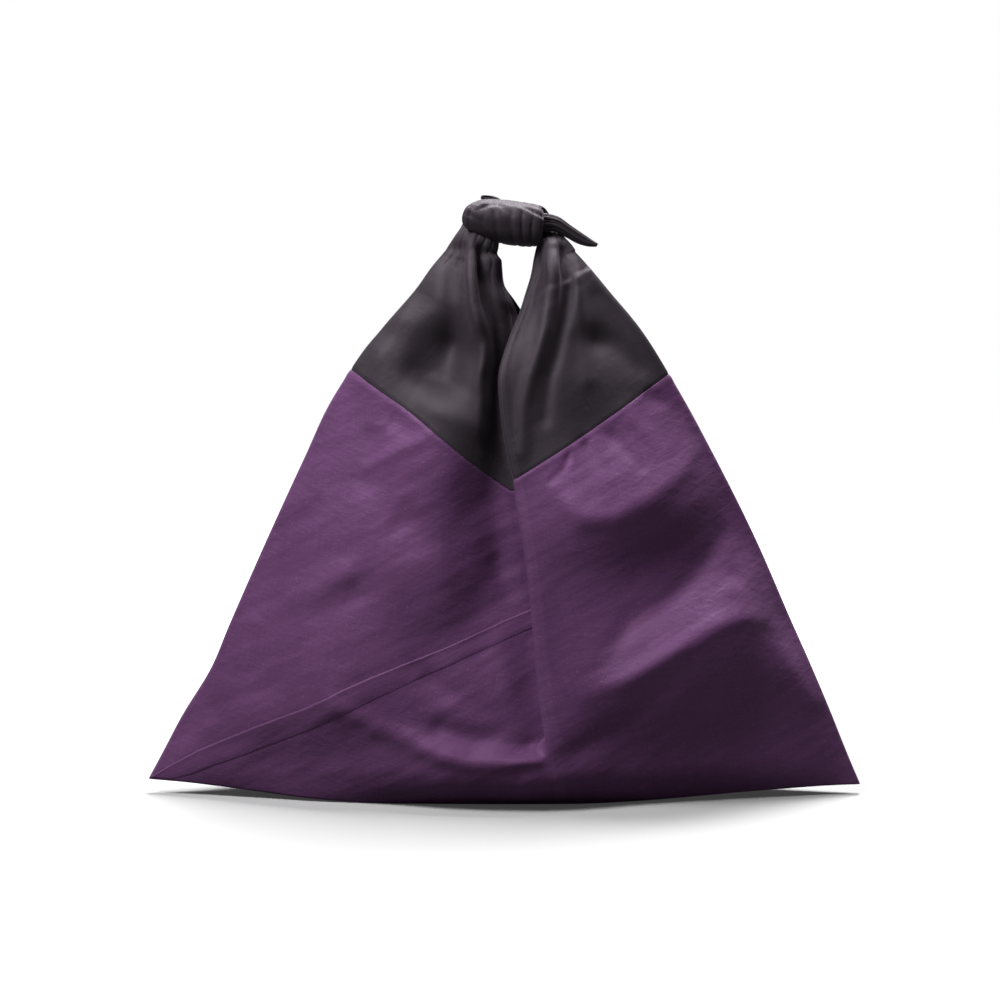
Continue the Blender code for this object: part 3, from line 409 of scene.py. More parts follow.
class BagFace:
    # The back is worked out as if seen from behind, then turned round.
    def __init__(self, turned, mouth, innerPlaces, outerPlaces, innerFolds, outerFolds):
        self.turned = turned
        self.mouth = mouth
        if not turned:
            innerPlaces, outerPlaces = ([Place(*nearer(*place), place.out) for place in places]
                                        for places in (innerPlaces, outerPlaces))
        self.plates = bendPlate(innerPlaces), bendPlate(outerPlaces)
        self.folds = innerFolds, outerFolds
        if not turned:
            self.folds = [[nearerCrease(crease, standOut) for crease in folds]
                          for folds, standOut in zip(self.folds, self.plates)]

    def sidePoint(self, share, right):
        name = "right" if right != self.turned else "left"
        x, y, z = (smoothAt(share, column(levels, "share"), column(levels, name + axis)) for axis in "XYZ")
        return (-x, -y, z) if self.turned else (x, y, z)

    def atBase(self, x, name):
        return np.maximum(smoothAt(-x if self.turned else x, column(base, "x"), column(base, name)), 0)

    def standOut(self, x, z, edgeX, outer):
        fromEdge = np.abs(x - edgeX)
        radius = bag["sideTurn"]
        turn = radius * np.sqrt(1 - (1 - np.clip(fromEdge / radius, 0, 1)) ** 2)
        spread = 1 - np.exp(-fromEdge / bag["sideSpread"])
        depth = np.maximum(self.plates[outer](x, z) + creaseHeight(self.folds[outer], x, z), 0) * spread
        reach = self.atBase(x, "reach")
        height = np.clip((z - self.atBase(x, "lift")) / bag["hullRound"], 0, 1)
        return turn + reach + (depth - reach) * (1 - (1 - height) ** 2)

    # A row's points are level in the middle, and at the side's own height there.
    def rowZ(self, x, edge, end, share, height):
        bend = 1 + bag["rowBend"] * math.exp(-share / bag["rowFade"])
        part = 1 - (1 - np.clip((x - edge[0]) / (end - edge[0]), 0, 1)) ** bend
        fromEdge = (edge[2] - self.atBase(edge[0], "lift")) * (1 - part)
        return self.atBase(x, "lift") + fromEdge + height * part

    # One row across the face: the inner leaf, the pleat, and the outer leaf.
    def row(self, share):
        left, right = self.sidePoint(share, False), self.sidePoint(share, True)
        height = float(smoothAt(share, column(levels, "share"), column(levels, "mouthZ")))
        at = {name: float(smoothAt(height, column(self.mouth, "height"), column(self.mouth, name)))
              for name in Mouth._fields}
        lip, tuck = at["lipX"], at["tuckX"]
        closed = share <= bag["notchShare"] + closeEnough
        nearly = tuck - lip + bag["pleatFrom"]
        folded = float(ease(nearly / bag["pleatOver"])) if closed else 1.0
        over = min(1.0, folded * 3) if closed else float(ease(nearly / bag["openOver"]))

        def underLip(x):
            x = np.maximum(np.atleast_1d(x), lip)
            return self.standOut(x, np.full(len(x), height), right[0], True)

        start = min(lip, tuck) - bag["pleatMargin"]
        leaf = np.concatenate([leafColumns(left[0], start),
                               np.linspace(start, tuck, grain["tuckColumns"] + 1)[1:]])
        sag = at["drop"] * ease((leaf - start + bag["dropLong"]) / bag["dropLong"])
        leafZ = self.rowZ(leaf, left, start, share, height) - sag
        behind = underLip(leaf) - bag["pleatDeep"] * folded - at["apart"]
        free = self.standOut(leaf, leafZ, left[0], False)
        flank = float(np.interp(height, bag["flankHeights"], bag["flankWide"]))
        leafOut = free + (behind - free) * ease((leaf - start + flank) / flank) * over
        outer = leafColumns(right[0], lip)[::-1][1:]
        outerZ = self.rowZ(outer, right, lip, share, height)
        outerOut = self.standOut(outer, outerZ, right[0], True)
        pleatX, pleatOut = pleatBetween(at, float(leafOut[-1]), float(underLip(lip)[0]), closed)

        x = np.concatenate([leaf, pleatX, outer])
        z = np.concatenate([leafZ, height - at["drop"] * ease(np.linspace(1, 0, len(pleatX))), outerZ])
        out = np.concatenate([leafOut, pleatOut, outerOut])
        near = (np.exp(-np.abs(x - left[0]) / bag["sideLean"]) * left[1]
                + np.exp(-np.abs(x - right[0]) / bag["sideLean"]) * right[1])
        way = -1 if self.turned else 1
        return np.stack([way * x, way * (near - out), z], 1)


front = BagFace(False, frontMouth, frontInnerLeaf, frontOuterLeaf, frontInnerFolds, frontOuterFolds)
back = BagFace(True, backMouth, backInnerLeaf, backOuterLeaf, backInnerFolds, backOuterFolds)
notchColumn = grain["leafColumns"] + grain["tuckColumns"] + grain["turnColumns"] + grain["hemColumns"]
settled = np.array((0.0, 0.55, 0.0))    # brings the cloth over the middle of its base, as in the solids


# Each face's map follows the cloth, in metres. From planarFrom on, it lies in the plane of the table.
def meshObject(name, points, faces, clothMap, paintedHighlight, planarFrom=None):
    mesh = bpy.data.meshes.new(name)
    mesh.from_pydata(((points + settled) * mm).tolist(), [], faces)
    mesh.update()
    corners = np.array(faces).ravel()
    onCloth = np.zeros((len(corners), 2))
    known = corners < len(clothMap)
    onCloth[known] = clothMap[corners[known]]
    if planarFrom is not None:
        onCloth[4 * planarFrom:] = points[corners[4 * planarFrom:], :2] * mm
    mesh.uv_layers.new(name="cloth").data.foreach_set("uv", onCloth.ravel())
    mesh.attributes.new("paintedHighlight", "FLOAT", "POINT").data.foreach_set("value", paintedHighlight)
    made = bpy.data.objects.new(name, mesh)
    bpy.context.scene.collection.objects.link(made)
    mesh.shade_smooth()
    return made


# Gives a sheet its thickness inwards. thin holds each vertex's share of it.
def thicken(sheet, thin=None):
    solid = sheet.modifiers.new("cloth", "SOLIDIFY")
    solid.thickness = bag["cloth"] * mm
    solid.offset = -1
    solid.use_even_offset = False
    if thin is not None:
        group = sheet.vertex_groups.new(name="thickness")
        for index, share in enumerate(thin):
            group.add([index], float(share), "REPLACE")
        solid.vertex_group = "thickness"
        solid.thickness_vertex_group = 0.08
    graph = bpy.context.evaluated_depsgraph_get()
    mesh = bpy.data.meshes.new_from_object(sheet.evaluated_get(graph))
    sheet.modifiers.clear()
    sheet.vertex_groups.clear()
    sheet.data = mesh


def vertexNormals(points, faces):
    faces = np.array(faces)
    across = np.cross(points[faces[:, 2]] - points[faces[:, 0]], points[faces[:, 3]] - points[faces[:, 1]])
    normals = np.zeros_like(points)
    for k in range(4):
        np.add.at(normals, faces[:, k], across)
    return normals / np.maximum(np.linalg.norm(normals, axis=1), 1e-9)[:, None]


# Lengths along and across the sheet, in metres, from the anchor column and the first row.
def clothLengths(grid, anchor):
    across = np.cumsum(np.linalg.norm(np.diff(grid, axis=1, prepend=grid[:, :1]), axis=2), axis=1)
    up = np.cumsum(np.linalg.norm(np.diff(grid, axis=0, prepend=grid[:1]), axis=2), axis=0)
    return np.stack([across - across[:, anchor:anchor + 1], up], 2) * mm


# The purple cloth.
purple = {
    "flat": (0.42, 1.26),       # the strip that it is folded from, in metres
    "roll": 0.35,               # how far the cloth rolls up along the dark seam
    "rollLong": 0.006,          # the share below the seam by which the roll is measured
    "rollAt": 0.9, "rollWide": 0.75, "dip": 0.9, "dipWide": 0.35,    # the roll, and the dip above it
    "rollRows": (0.012, 0.0085, 0.0055, 0.003, 0.001, 0.0),    # the last rows, as shares below the seam
    "seamCloth": 0.45,          # share of the cloth's thickness that is left along it
    "seamThin": 0.008,          # share over which it thins
    "cornerThin": 9.0,          # distance over which it thins towards the lower corners
    "rippleTall": 0.62, "rippleTilt": 28.0,
    "rippleLong": 44.0, "rippleWide": 10.0, "rippleDeep": 60.0,
    "smallTall": 0.5, "smallLong": 21.0, "smallWide": 6.0, "smallDeep": 40.0, "smallSeed": 7,
    "calmBase": 0.08, "calmSeam": 6.0, "calmSide": 12.0,    # where the ripples fade towards an edge
    "calmOuter": 0.45,          # how much weaker they are on the outer leaf
    "highlightSide": 2.5, "highlightLip": 0.35,    # columns over which the side fold gets a painted highlight, and the lip's share of it
}


def gridFaces(rows, columns, skip=()):
    return [(r * columns + c, r * columns + c + 1, (r + 1) * columns + c + 1, (r + 1) * columns + c)
            for r in range(rows - 1) for c in range(columns - 1) if c not in skip]


def fineRipples(points):
    # Uneven ripples that run down to the left, as thin crisp cloth has.
    tilt = math.radians(purple["rippleTilt"])
    u = points[:, 0] * math.cos(tilt) + points[:, 2] * math.sin(tilt)
    v = -points[:, 0] * math.sin(tilt) + points[:, 2] * math.cos(tilt)
    tall = []
    for a, b, c in zip(u, v, points[:, 1]):
        broad = Vector((a / purple["rippleLong"], b / purple["rippleWide"], c / purple["rippleDeep"]))
        small = Vector((a / purple["smallLong"], b / purple["smallWide"],
                        purple["smallSeed"] + c / purple["smallDeep"]))
        tall.append(noise.noise(broad) + purple["smallTall"] * noise.noise(small))
    return purple["rippleTall"] * np.array(tall)


# Columns from the nearest side edge, for one face's row.
def sideDistance(wide):
    index = np.arange(wide)
    return np.minimum(index, wide - 1 - index)


def bodyShares():
    last = bag["seamShare"] - np.array(purple["rollRows"])
    lower = grain["bodyRows"] + 2 - grain["notchRows"] - len(last)
    return np.concatenate([np.linspace(0, bag["notchShare"], lower)[:-1],
                           np.linspace(bag["notchShare"], last[0], grain["notchRows"])[:-1], last])


# The front's row and the back's share their first and last points.
def bodyRow(share):
    frontRow, backRow = front.row(share), back.row(share)
    frontRow[0] = backRow[-1] = (frontRow[0] + backRow[-1]) / 2
    frontRow[-1] = backRow[0] = (frontRow[-1] + backRow[0]) / 2
    return np.concatenate([frontRow, backRow])


# Above the notch the cloth is open between its two leaves.
def bodyFaces(shares, wide):
    across = 2 * wide
    pleats = notchColumn, wide + notchColumn
    faces = gridFaces(len(shares), across, (*pleats, wide - 1))
    for r in range(len(shares) - 1):
        if shares[r + 1] <= bag["notchShare"] + closeEnough:
            faces += [(r * across + c, r * across + c + 1, (r + 1) * across + c + 1, (r + 1) * across + c)
                      for c in pleats]
    return faces


# The base, column by column from the front's lowest row to the back's.
def baseCloth(points, wide):
    extra = []
    lines = []
    for c in range(wide):
        first, last = points[c], points[2 * wide - 1 - c]
        line = [c]
        for step in range(1, grain["baseRows"]):
            line.append(len(points) + len(extra))
            extra.append(first + (last - first) * step / grain["baseRows"])
        lines.append([*line, 2 * wide - 1 - c])
    faces = [(leftLine[step], leftLine[step + 1], rightLine[step + 1], rightLine[step])
             for leftLine, rightLine in zip(lines, lines[1:]) for step in range(grain["baseRows"])]
    return extra, faces


# A small roll stands just below the dark seam, and the cloth dips into the seam itself.
def seamRoll(fromSeam):
    dip = purple["dip"] * np.exp(-(fromSeam / purple["dipWide"]) ** 2)
    return purple["roll"] * (np.exp(-((fromSeam - purple["rollAt"]) / purple["rollWide"]) ** 2) - dip)


def buildBody():
    shares = bodyShares()
    points = np.concatenate([bodyRow(share) for share in shares])
    across = len(points) // len(shares)
    wide = across // 2
    faces = bodyFaces(shares, wide)
    normals = vertexNormals(points, faces)
    level = np.repeat(shares, across)
    fromSeam = (bag["seamShare"] - level) / purple["rollLong"]
    fromSide = np.tile(np.concatenate([sideDistance(wide), sideDistance(wide)]), len(shares))
    onInner = np.tile(np.arange(across) % wide < notchColumn, len(shares))
    calm = (ease(level / purple["calmBase"]) * ease(fromSeam / purple["calmSeam"])
            * ease(fromSide / purple["calmSide"]) * np.where(onInner, 1.0, purple["calmOuter"]))
    points = points + normals * (seamRoll(fromSeam) + fineRipples(points) * calm)[:, None]
    grid = points.reshape(len(shares), across, 3)
    halves = grid[:, :wide], grid[:, wide:]
    clothMap = np.concatenate([clothLengths(half, wide // 2) for half in halves], 1)
    baseFrom = len(faces)
    extra, baseFaces = baseCloth(points, wide)
    points = np.concatenate([points, extra])
    # Painted highlight: the cloth is coloured lighter along the side folds and the lip, where light catches
    # the folded edge.
    onLip = np.abs(np.tile(np.arange(wide), 2 * len(shares)) - wide + grain["leafColumns"]) < 2
    paintedHighlight = np.clip(np.exp(-fromSide / purple["highlightSide"]) + purple["highlightLip"] * onLip, 0, 1)
    made = meshObject("body_cloth", points, faces + baseFaces, clothMap.reshape(-1, 2),
                      np.concatenate([paintedHighlight, np.zeros(len(extra))]), baseFrom)
    weld(made)
    corners = np.array((points[0], points[wide - 1])) + settled
    at = np.array([vertex.co for vertex in made.data.vertices]) / mm
    near = np.min([np.linalg.norm(at - corner, axis=1) for corner in corners], axis=0)
    corner = np.clip(near / purple["cornerThin"], bag["thinnest"], 1)
    thicken(made, corner * seamThickness(made, points, level))
    return made


# The cloth thins towards the dark seam, where its allowance is pressed flat.
def seamThickness(made, points, level):
    tree = KDTree(len(level))
    for index in range(len(level)):
        tree.insert((points[index] + settled) * mm, index)
    tree.balance()
    found = np.array([tree.find(vertex.co)[1] for vertex in made.data.vertices])
    part = ease((bag["seamShare"] - level[found]) / purple["seamThin"])
    return purple["seamCloth"] + (1 - purple["seamCloth"]) * part


def weld(made):
    work = bmesh.new()
    work.from_mesh(made.data)
    bmesh.ops.remove_doubles(work, verts=work.verts, dist=2e-5)
    bmesh.ops.dissolve_degenerate(work, edges=work.edges, dist=1e-6)
    work.to_mesh(made.data)
    work.free()
    made.data.shade_smooth()


bodyCloth = buildBody()
print("purple cloth made", len(bodyCloth.data.polygons))


# The dark corners. Each is one sheet from the seam up, gathered into a strand that ends in its point.
dark = {
    "flat": (0.36, 0.36),       # the square whose half each corner is, in metres
    "seamRows": (-0.012, -0.006, -0.001, 0.001, 0.004, 0.007),    # the first rows, as shares above the seam
    "under": 0.75,              # how far inside the purple cloth the rows below the seam lie
    "underCloth": 0.6,          # their share of the cloth's thickness
    "gatherFrom": 0.74,         # the level at which the cloth starts to close into a strand
    "modelShare": 0.93,         # the level whose widths the whole strand keeps
    "hemWide": 8.5,             # the hem along the mouth
    "hemTall": 0.45, "hemStep": 1.2,
    "hemEnd": 0.46, "hemFade": 0.1,    # where it ends along the sheet
    "stitchIn": 1.6,            # its stitches lie this far inside its edge
    "stitchShort": 8,           # rows that they stop short of the strand
    # Painted highlight over the strand and knot: where it starts along the sheet, over what length it
    # grows, and how strong it is.
    "highlightFrom": 0.4, "highlightOver": 0.1, "paintedHighlight": 0.5,
    "thickRound": 14.0,         # a ring smaller than this has thinner cloth
}

# A strand's ring, from its inner side, which faces the gap under the knot, to its outer one.
Loop = namedtuple("Loop", "innerX innerZ outerX outerZ frontY backY")
leftLoops = (
    Loop(-5.8, 437.0, -44.5, 444.0, -14.0, 14.6),
    Loop(-4.6, 442.0, -41.2, 449.0, -12.8, 14.4),
    Loop(-4.2, 446.0, -38.0, 453.8, -11.0, 14.0),
    Loop(-5.4, 449.0, -35.0, 458.0, -8.6, 13.8),
    Loop(-8.6, 451.5, -32.8, 462.5, -5.8, 13.5),
    Loop(-11.8, 453.5, -31.2, 468.0, -4.6, 13.5),
    Loop(-13.0, 455.0, -28.6, 473.6, -4.2, 13.5),
    Loop(-13.8, 456.0, -23.6, 478.0, -4.0, 13.5),
    Loop(-13.8, 456.6, -16.8, 479.6, -3.8, 13.5),
    Loop(-12.6, 456.8, -11.8, 477.6, -3.6, 13.4),
    Loop(-10.0, 457.0, -8.4, 475.2, -3.4, 13.4),
    Loop(-5.0, 457.2, -4.6, 474.0, -3.4, 13.6),
    Loop(3.0, 456.0, 3.0, 472.6, -3.3, 13.7),
    Loop(18.0, 454.4, 18.0, 470.8, -3.3, 13.7),
    Loop(29.5, 454.8, 31.0, 470.2, -3.0, 12.6),
    Loop(39.4, 455.2, 42.8, 467.4, -2.0, 11.0),
    Loop(49.0, 450.8, 53.6, 460.0, 0.5, 10.5),
    Loop(60.0, 445.2, 64.4, 452.8, 3.2, 10.8),
    Loop(68.8, 443.2, 71.6, 448.0, 5.5, 10.5),
    Loop(73.8, 443.2, 75.2, 445.8, 6.7, 9.3),
)
Strand = namedtuple("Strand", "x y z wide thick")
rightClimb = (
    Strand(40.8, 1.0, 441.5, 31.0, 25), Strand(39.8, 2.2, 446.0, 26.4, 23),
    Strand(38.4, 5.6, 450.0, 21.5, 19.5), Strand(37.0, 11.2, 453.6, 18.5, 13.5),
)
Turn = namedtuple("Turn", "turn x wide thick")
rightWrap = (
    Turn(112, 36, 19.5, 8), Turn(85, 32, 18, 7), Turn(55, 24, 24, 6), Turn(25, 16, 34, 5.5),
    Turn(-5, 8.5, 44, 5.5), Turn(-35, 3.2, 53.0, 6.4), Turn(-62, 0.2, 62.0, 9.4),
    Turn(-88, -1.0, 65.0, 10.2), Turn(-112, -0.6, 62.5, 10), Turn(-136, 3.5, 53, 10.2),
    Turn(-160, 7.5, 43, 10), Turn(-185, 9.0, 37, 8.5), Turn(-212, 8.6, 32, 7.5),
    Turn(-240, 6.0, 28, 7.5), Turn(-265, 1, 24, 7.5), Turn(-288, -5, 20, 7),
)
rightTip = (
    Strand(-9.0, 12.5, 478.6, 17, 6.5), Strand(-11.5, 8.0, 481.6, 14.5, 5.0),
    Strand(-13.0, 3.5, 482.6, 10.5, 2.4),
)
knot = {"coreRound": 9.8, "coreLean": -0.13, "wrapSpace": 0.8, "square": 2.6, "neckSquare": 1.25}


def rightAcross(at, along):
    wound = float(ease(at - len(rightClimb) + 1))
    heading = unit(np.array((0.0, along[1], along[2]))) * wound + np.array((0.0, 0.0, 1.0)) * (1 - wound)
    across = np.array((1.0, 0.0, knot["coreLean"] * wound))
    across = unit(across - unit(heading) * (across @ unit(heading)))
    return across, unit(np.cross(heading, across))


def coreLine(x):
    rows = sorted((loop for loop in leftLoops if loop.innerZ > 455), key=lambda loop: loop.innerX)
    places = np.array([(loop.innerX + loop.outerX) / 2 for loop in rows])
    y = np.array([(loop.frontY + loop.backY) / 2 for loop in rows])
    z = np.array([(loop.innerZ + loop.outerZ) / 2 for loop in rows])
    return smoothAt(x, places, y), smoothAt(x, places, z)


def wrapRows():
    rows = list(rightClimb)
    for row in rightWrap:
        y, z = coreLine(np.clip(row.x, -6, 31))
        away = knot["coreRound"] + knot["wrapSpace"] + row.thick / 2
        angle = math.radians(row.turn)
        y, z = y + away * math.sin(angle), z + away * math.cos(angle)
        rows.append(Strand(row.x, y, z, row.wide, row.thick))
    return [*rows, *rightTip]


# A ring's points round its middle, a little squarer than an ellipse, as bunched cloth is.
def ringPoints(middle, across, up, angles, square=knot["square"]):
    cos, sin = np.cos(np.radians(angles)), np.sin(np.radians(angles))
    grow = 1 / (np.abs(cos) ** square + np.abs(sin) ** square) ** (1 / square)
    return middle + np.outer(grow * cos, across) + np.outer(grow * sin, up)


# A neck's first rings are flat at their sides, like the cloth below them.
def neckSquare(at):
    return min(knot["square"], knot["neckSquare"] + 0.25 * at)


def leftRings(angles):
    rings = []
    for at, loop in enumerate(leftLoops):
        inner, outer = np.array((loop.innerX, 0.0, loop.innerZ)), np.array((loop.outerX, 0.0, loop.outerZ))
        middle = (inner + outer) / 2 + np.array((0.0, (loop.frontY + loop.backY) / 2, 0.0))
        up = np.array((0.0, (loop.frontY - loop.backY) / 2, 0.0))
        rings.append(ringPoints(middle, (outer - inner) / 2, up, angles, neckSquare(at)))
    return rings


def rightRings(angles):
    rows = wrapRows()
    middle = np.array([(row.x, row.y, row.z) for row in rows])
    along = np.gradient(middle, axis=0)
    rings = []
    for at, row in enumerate(rows):
        across, up = rightAcross(at, along[at])
        turned = angles + 90 * float(ease((at - 2) / 5))
        half, high = across * row.wide / 2, up * row.thick / 2
        rings.append(ringPoints(middle[at], half, high, turned, neckSquare(at)))
    return rings


def hornRow(first, second, share):
    outerPart = second.row(share)[notchColumn + 1:]
    innerPart = first.row(share)[:notchColumn + 1]
    outerPart[-1] = (outerPart[-1] + innerPart[0]) / 2
    return np.concatenate([outerPart, innerPart[1:]])


# The ring that just holds an open row: its sides are the row's own.
def closedRow(row, sideColumn, angles):
    inner = (row[0] + row[-1]) / 2
    inner[0] = row[:, 0].min() if row[sideColumn, 0] > inner[0] else row[:, 0].max()
    middle = (inner + row[sideColumn]) / 2
    middle[1] = (row[:, 1].min() + row[:, 1].max()) / 2
    across = row[sideColumn] - inner
    across[1] = 0
    high = 0.9 * (row[:, 1].max() - row[:, 1].min()) / 2
    quarter = len(row) // 4
    up = np.array((0.0, -high if row[quarter, 1] > middle[1] else high, 0.0))
    return ringPoints(middle, across / 2, up, angles, knot["neckSquare"])


# Creases along the sheet: t is the place across it, drift its shift over the strand's length, and start
# how far along the sheet it begins, where the seam is 0, the strand's start 0.5 and its point 1.
Gather = namedtuple("Gather", "t drift deep wide start")
leftGathers = (
    Gather(0.06, 0.02, 1.6, 0.012, 0.36), Gather(0.15, 0.03, 2.0, 0.014, 0.30),
    Gather(0.24, -0.03, 2.2, 0.013, 0.26), Gather(0.33, 0.05, 2.0, 0.013, 0.30),
    Gather(0.42, -0.03, 1.8, 0.011, 0.34), Gather(0.53, 0.04, 1.6, 0.010, 0.36),
    Gather(0.60, -0.05, 2.0, 0.011, 0.36), Gather(0.66, 0.04, 2.4, 0.012, 0.34),
    Gather(0.73, -0.03, 1.8, 0.010, 0.36), Gather(0.80, 0.04, 2.4, 0.012, 0.34),
    Gather(0.88, -0.02, 2.0, 0.012, 0.36), Gather(0.95, 0.01, 1.6, 0.012, 0.38),
)
rightGathers = (
    Gather(0.08, 0.01, 1.6, 0.012, 0.34), Gather(0.17, 0.02, 1.4, 0.013, 0.36),
    Gather(0.25, -0.02, 1.0, 0.012, 0.36), Gather(0.33, 0.01, 1.2, 0.012, 0.34),
    Gather(0.408, 0.0, 0.9, 0.009, 0.36), Gather(0.455, 0.0, 0.7, 0.008, 0.38),
    Gather(0.511, 0.0, 1.0, 0.009, 0.36), Gather(0.607, 0.0, 0.9, 0.010, 0.36),
    Gather(0.66, 0.02, 0.8, 0.008, 0.40), Gather(0.72, 0.0, 1.2, 0.012, 0.32),
    Gather(0.81, 0.0, 1.4, 0.012, 0.32), Gather(0.90, 0.0, 1.4, 0.012, 0.34),
)

# Creases that show on the front of the knot, as paths of x and z.
knotFolds = (
    Crease(((-31, 470.7), (-24, 466), (-17.7, 462.7)), -1.5, 1.3, 0.5),
    Crease(((-29.2, 476.9), (-18.6, 471.6)), -1.4, 1.3, 0.5),
    Crease(((-27, 479.5), (-17, 475.5)), -1.2, 1.2, 0.5),
    Crease(((-20.3, 473.7), (-9.7, 477.3), (-2.7, 476.4)), -1.8, 1.4, 0.8),
    Crease(((-8.6, 476), (-6.4, 462.7), (-5.6, 449.5)), -1.5, 1.3, 0.5),
    Crease(((-2.7, 476.6), (1.5, 471)), -1.3, 1.2, 0.4),
    Crease(((6.0, 474), (6.4, 460), (7.0, 446)), -1.3, 1.1, 0.6),
    Crease(((13.7, 470), (14.2, 446)), -1.1, 1.1, 0.7),
    Crease(((21.6, 463), (21.2, 446)), -1.0, 1.0, 0.7),
    Crease(((7.5, 478.2), (18, 474.0), (31, 467.2)), -2.0, 1.3, 0.9),
    Crease(((8, 475), (18, 471), (30, 464)), 0.9, 1.8, 0.9),
)

# How the gathers fade along the strand.
gathering = {
    "round": 0.003,                  # how blunt a gather's bottom is
    "endAt": 1.02, "endLong": 0.12,  # they fade towards the point
    "neckAt": 0.53, "neckLong": 0.05, "neckCalm": 0.55,    # and are weaker round the neck
    "ringWhole": 12,                 # a strand thinner than this has weaker ones
}
# Where creases of the front show on the dark corners.
crossing = {
    # The knot's creases start at its lower edge, and end left of the tail.
    "knotOver": 3, "knotRight": 33.5, "knotFade": 2,
    # The leaves' creases end under the knot.
    "neckTop": 457, "neckOver": 14, "neckShare": 0.8,
    "facing": 1.6,    # above 1, cloth that faces the front less squarely is creased in full too
}


def ringReach(ring):
    size = ring.max(0) - ring.min(0)
    return float(min(1.0, sorted(size)[1] / gathering["ringWhole"]))


def gatherDepth(gathers, t, along, reach):
    deep = np.zeros((len(along), len(t)))
    for gather in gathers:
        place = gather.t + gather.drift * (along - 0.5)
        away = np.sqrt((t[None] - place[:, None]) ** 2 + gathering["round"] ** 2) / gather.wide
        fade = (ease((along - gather.start) / (0.5 - gather.start))
                * ease((gathering["endAt"] - along) / gathering["endLong"]))
        fromNeck = (along - gathering["neckAt"]) / gathering["neckLong"]
        neck = 1 - gathering["neckCalm"] * np.exp(-(fromNeck ** 2))
        deep += -gather.deep * np.exp(-away) * (fade * reach * neck)[:, None]
    return deep


# The rows up to the strand, which close into its ring from gatherFrom on, and the rings from there to
# the point.
def hornGrid(first, second, ringsAt, shares):
    rows = [hornRow(first, second, share) for share in shares]
    model = rows[int(np.argmin(np.abs(shares - dark["modelShare"])))]
    length = np.concatenate([[0], np.cumsum(np.linalg.norm(np.diff(model, axis=0), axis=1))])
    t = length / length[-1]
    sideColumn = len(model) - notchColumn - 1
    sideT = t[sideColumn]
    # The side edge is the ring's outer end, whatever its share of the cloth.
    angles = np.where(t < sideT, -180 + 180 * t / sideT, 180 * (t - sideT) / (1 - sideT))
    closing = ease((shares - dark["gatherFrom"]) / (1 - dark["gatherFrom"]))
    for i, held in enumerate(closing):
        if held > 0:
            rows[i] = rows[i] * (1 - held) + closedRow(rows[i], sideColumn, angles) * held
    keys = [rows[-3], rows[-1], *ringsAt(angles)]
    steps = [np.linalg.norm(b - a, axis=1).mean() for a, b in zip(keys, keys[1:])]
    places = np.concatenate([[0], np.cumsum(steps)])
    count = int((places[-1] - places[1]) / grain["ringStep"])
    at = np.linspace(places[1], places[-1], count + 1)[1:]
    rings = smoothAt(at, places, np.array([key.ravel() for key in keys])).reshape(len(at), len(t), 3)
    return rows, rings, length, sideColumn, closing


def buildHorn(name, first, second, ringsAt, gathers, folds, knotFrom):
    near = bag["seamShare"] + np.array(dark["seamRows"])
    shares = np.concatenate([near[:-1], np.linspace(near[-1], 1.0, grain["hornRows"] + 1 - len(near))])
    rows, rings, length, sideColumn, closing = hornGrid(first, second, ringsAt, shares)
    t = length / length[-1]
    leafRows = len(rows)
    columns = len(t)
    points = np.concatenate([*rows, *rings])
    faces = gridFaces(leafRows + len(rings), columns)
    normals = vertexNormals(points, faces)
    along = np.concatenate([np.linspace(0, 0.5, leafRows), np.linspace(0.5, 1, len(rings) + 1)[1:]])
    reach = np.concatenate([np.ones(leafRows), [ringReach(ring) for ring in rings]])
    deep = gatherDepth(gathers, t, along, reach)
    fromEdge = np.minimum(t, 1 - t) * length[-1]
    hem = dark["hemTall"] * ease((dark["hemWide"] - fromEdge) / dark["hemStep"])
    deep += hem[None] * ease((dark["hemEnd"] - along) / dark["hemFade"])[:, None]
    x, z = points[:, 0], points[:, 2]
    facing = np.clip(-normals[:, 1] * crossing["facing"], 0, 1)
    onKnot = (np.clip((z - knotFrom) / crossing["knotOver"], 0, 1)
              * np.clip((crossing["knotRight"] - x) / crossing["knotFade"], 0, 1))
    deep = deep.ravel() + creaseHeight(knotFolds, x, z) * facing * onKnot
    onNeck = np.repeat(np.concatenate([closing, np.ones(len(rings))]), columns)
    onNeck *= crossing["neckShare"] * np.clip((crossing["neckTop"] - z) / crossing["neckOver"], 0, 1)
    deep += creaseHeight(folds, x, z) * facing * onNeck
    below = int(np.sum(np.array(dark["seamRows"]) < 0))
    inside = np.zeros(len(along))
    inside[:below] = dark["under"]
    inside[below] = dark["under"] / 2
    points = points + normals * (deep - np.repeat(inside, columns))[:, None]
    grid = points.reshape(-1, columns, 3)
    clothMap = clothLengths(grid, sideColumn).reshape(-1, 2)
    # Painted highlight: the strand and the knot are coloured lighter, as if they catch the light.
    paintedHighlight = np.repeat(ease((along - dark["highlightFrom"]) / dark["highlightOver"]) * dark["paintedHighlight"], columns)
    made = meshObject(name, points, faces, clothMap, paintedHighlight)
    ringSizes = [min(1, np.linalg.norm(ring.max(0) - ring.min(0)) / dark["thickRound"]) for ring in rings]
    cloth = np.concatenate([np.ones(leafRows), ringSizes])
    cloth[:below + 1] = dark["underCloth"]
    thicken(made, np.repeat(np.clip(cloth, bag["thinnest"], 1), columns))
    sewn = grid[below + 1:leafRows - dark["stitchShort"]]
    return made, [hemLine(sewn, t * length[-1], edge) for edge in (False, True)]


# Where the hem is sewn down, on the outer face.
def hemLine(grid, fromFirst, last):
    at = fromFirst[-1] - dark["hemWide"] + dark["stitchIn"] if last else dark["hemWide"] - dark["stitchIn"]
    return [[float(np.interp(at, fromFirst, row[:, k])) for k in range(3)] for row in grid]


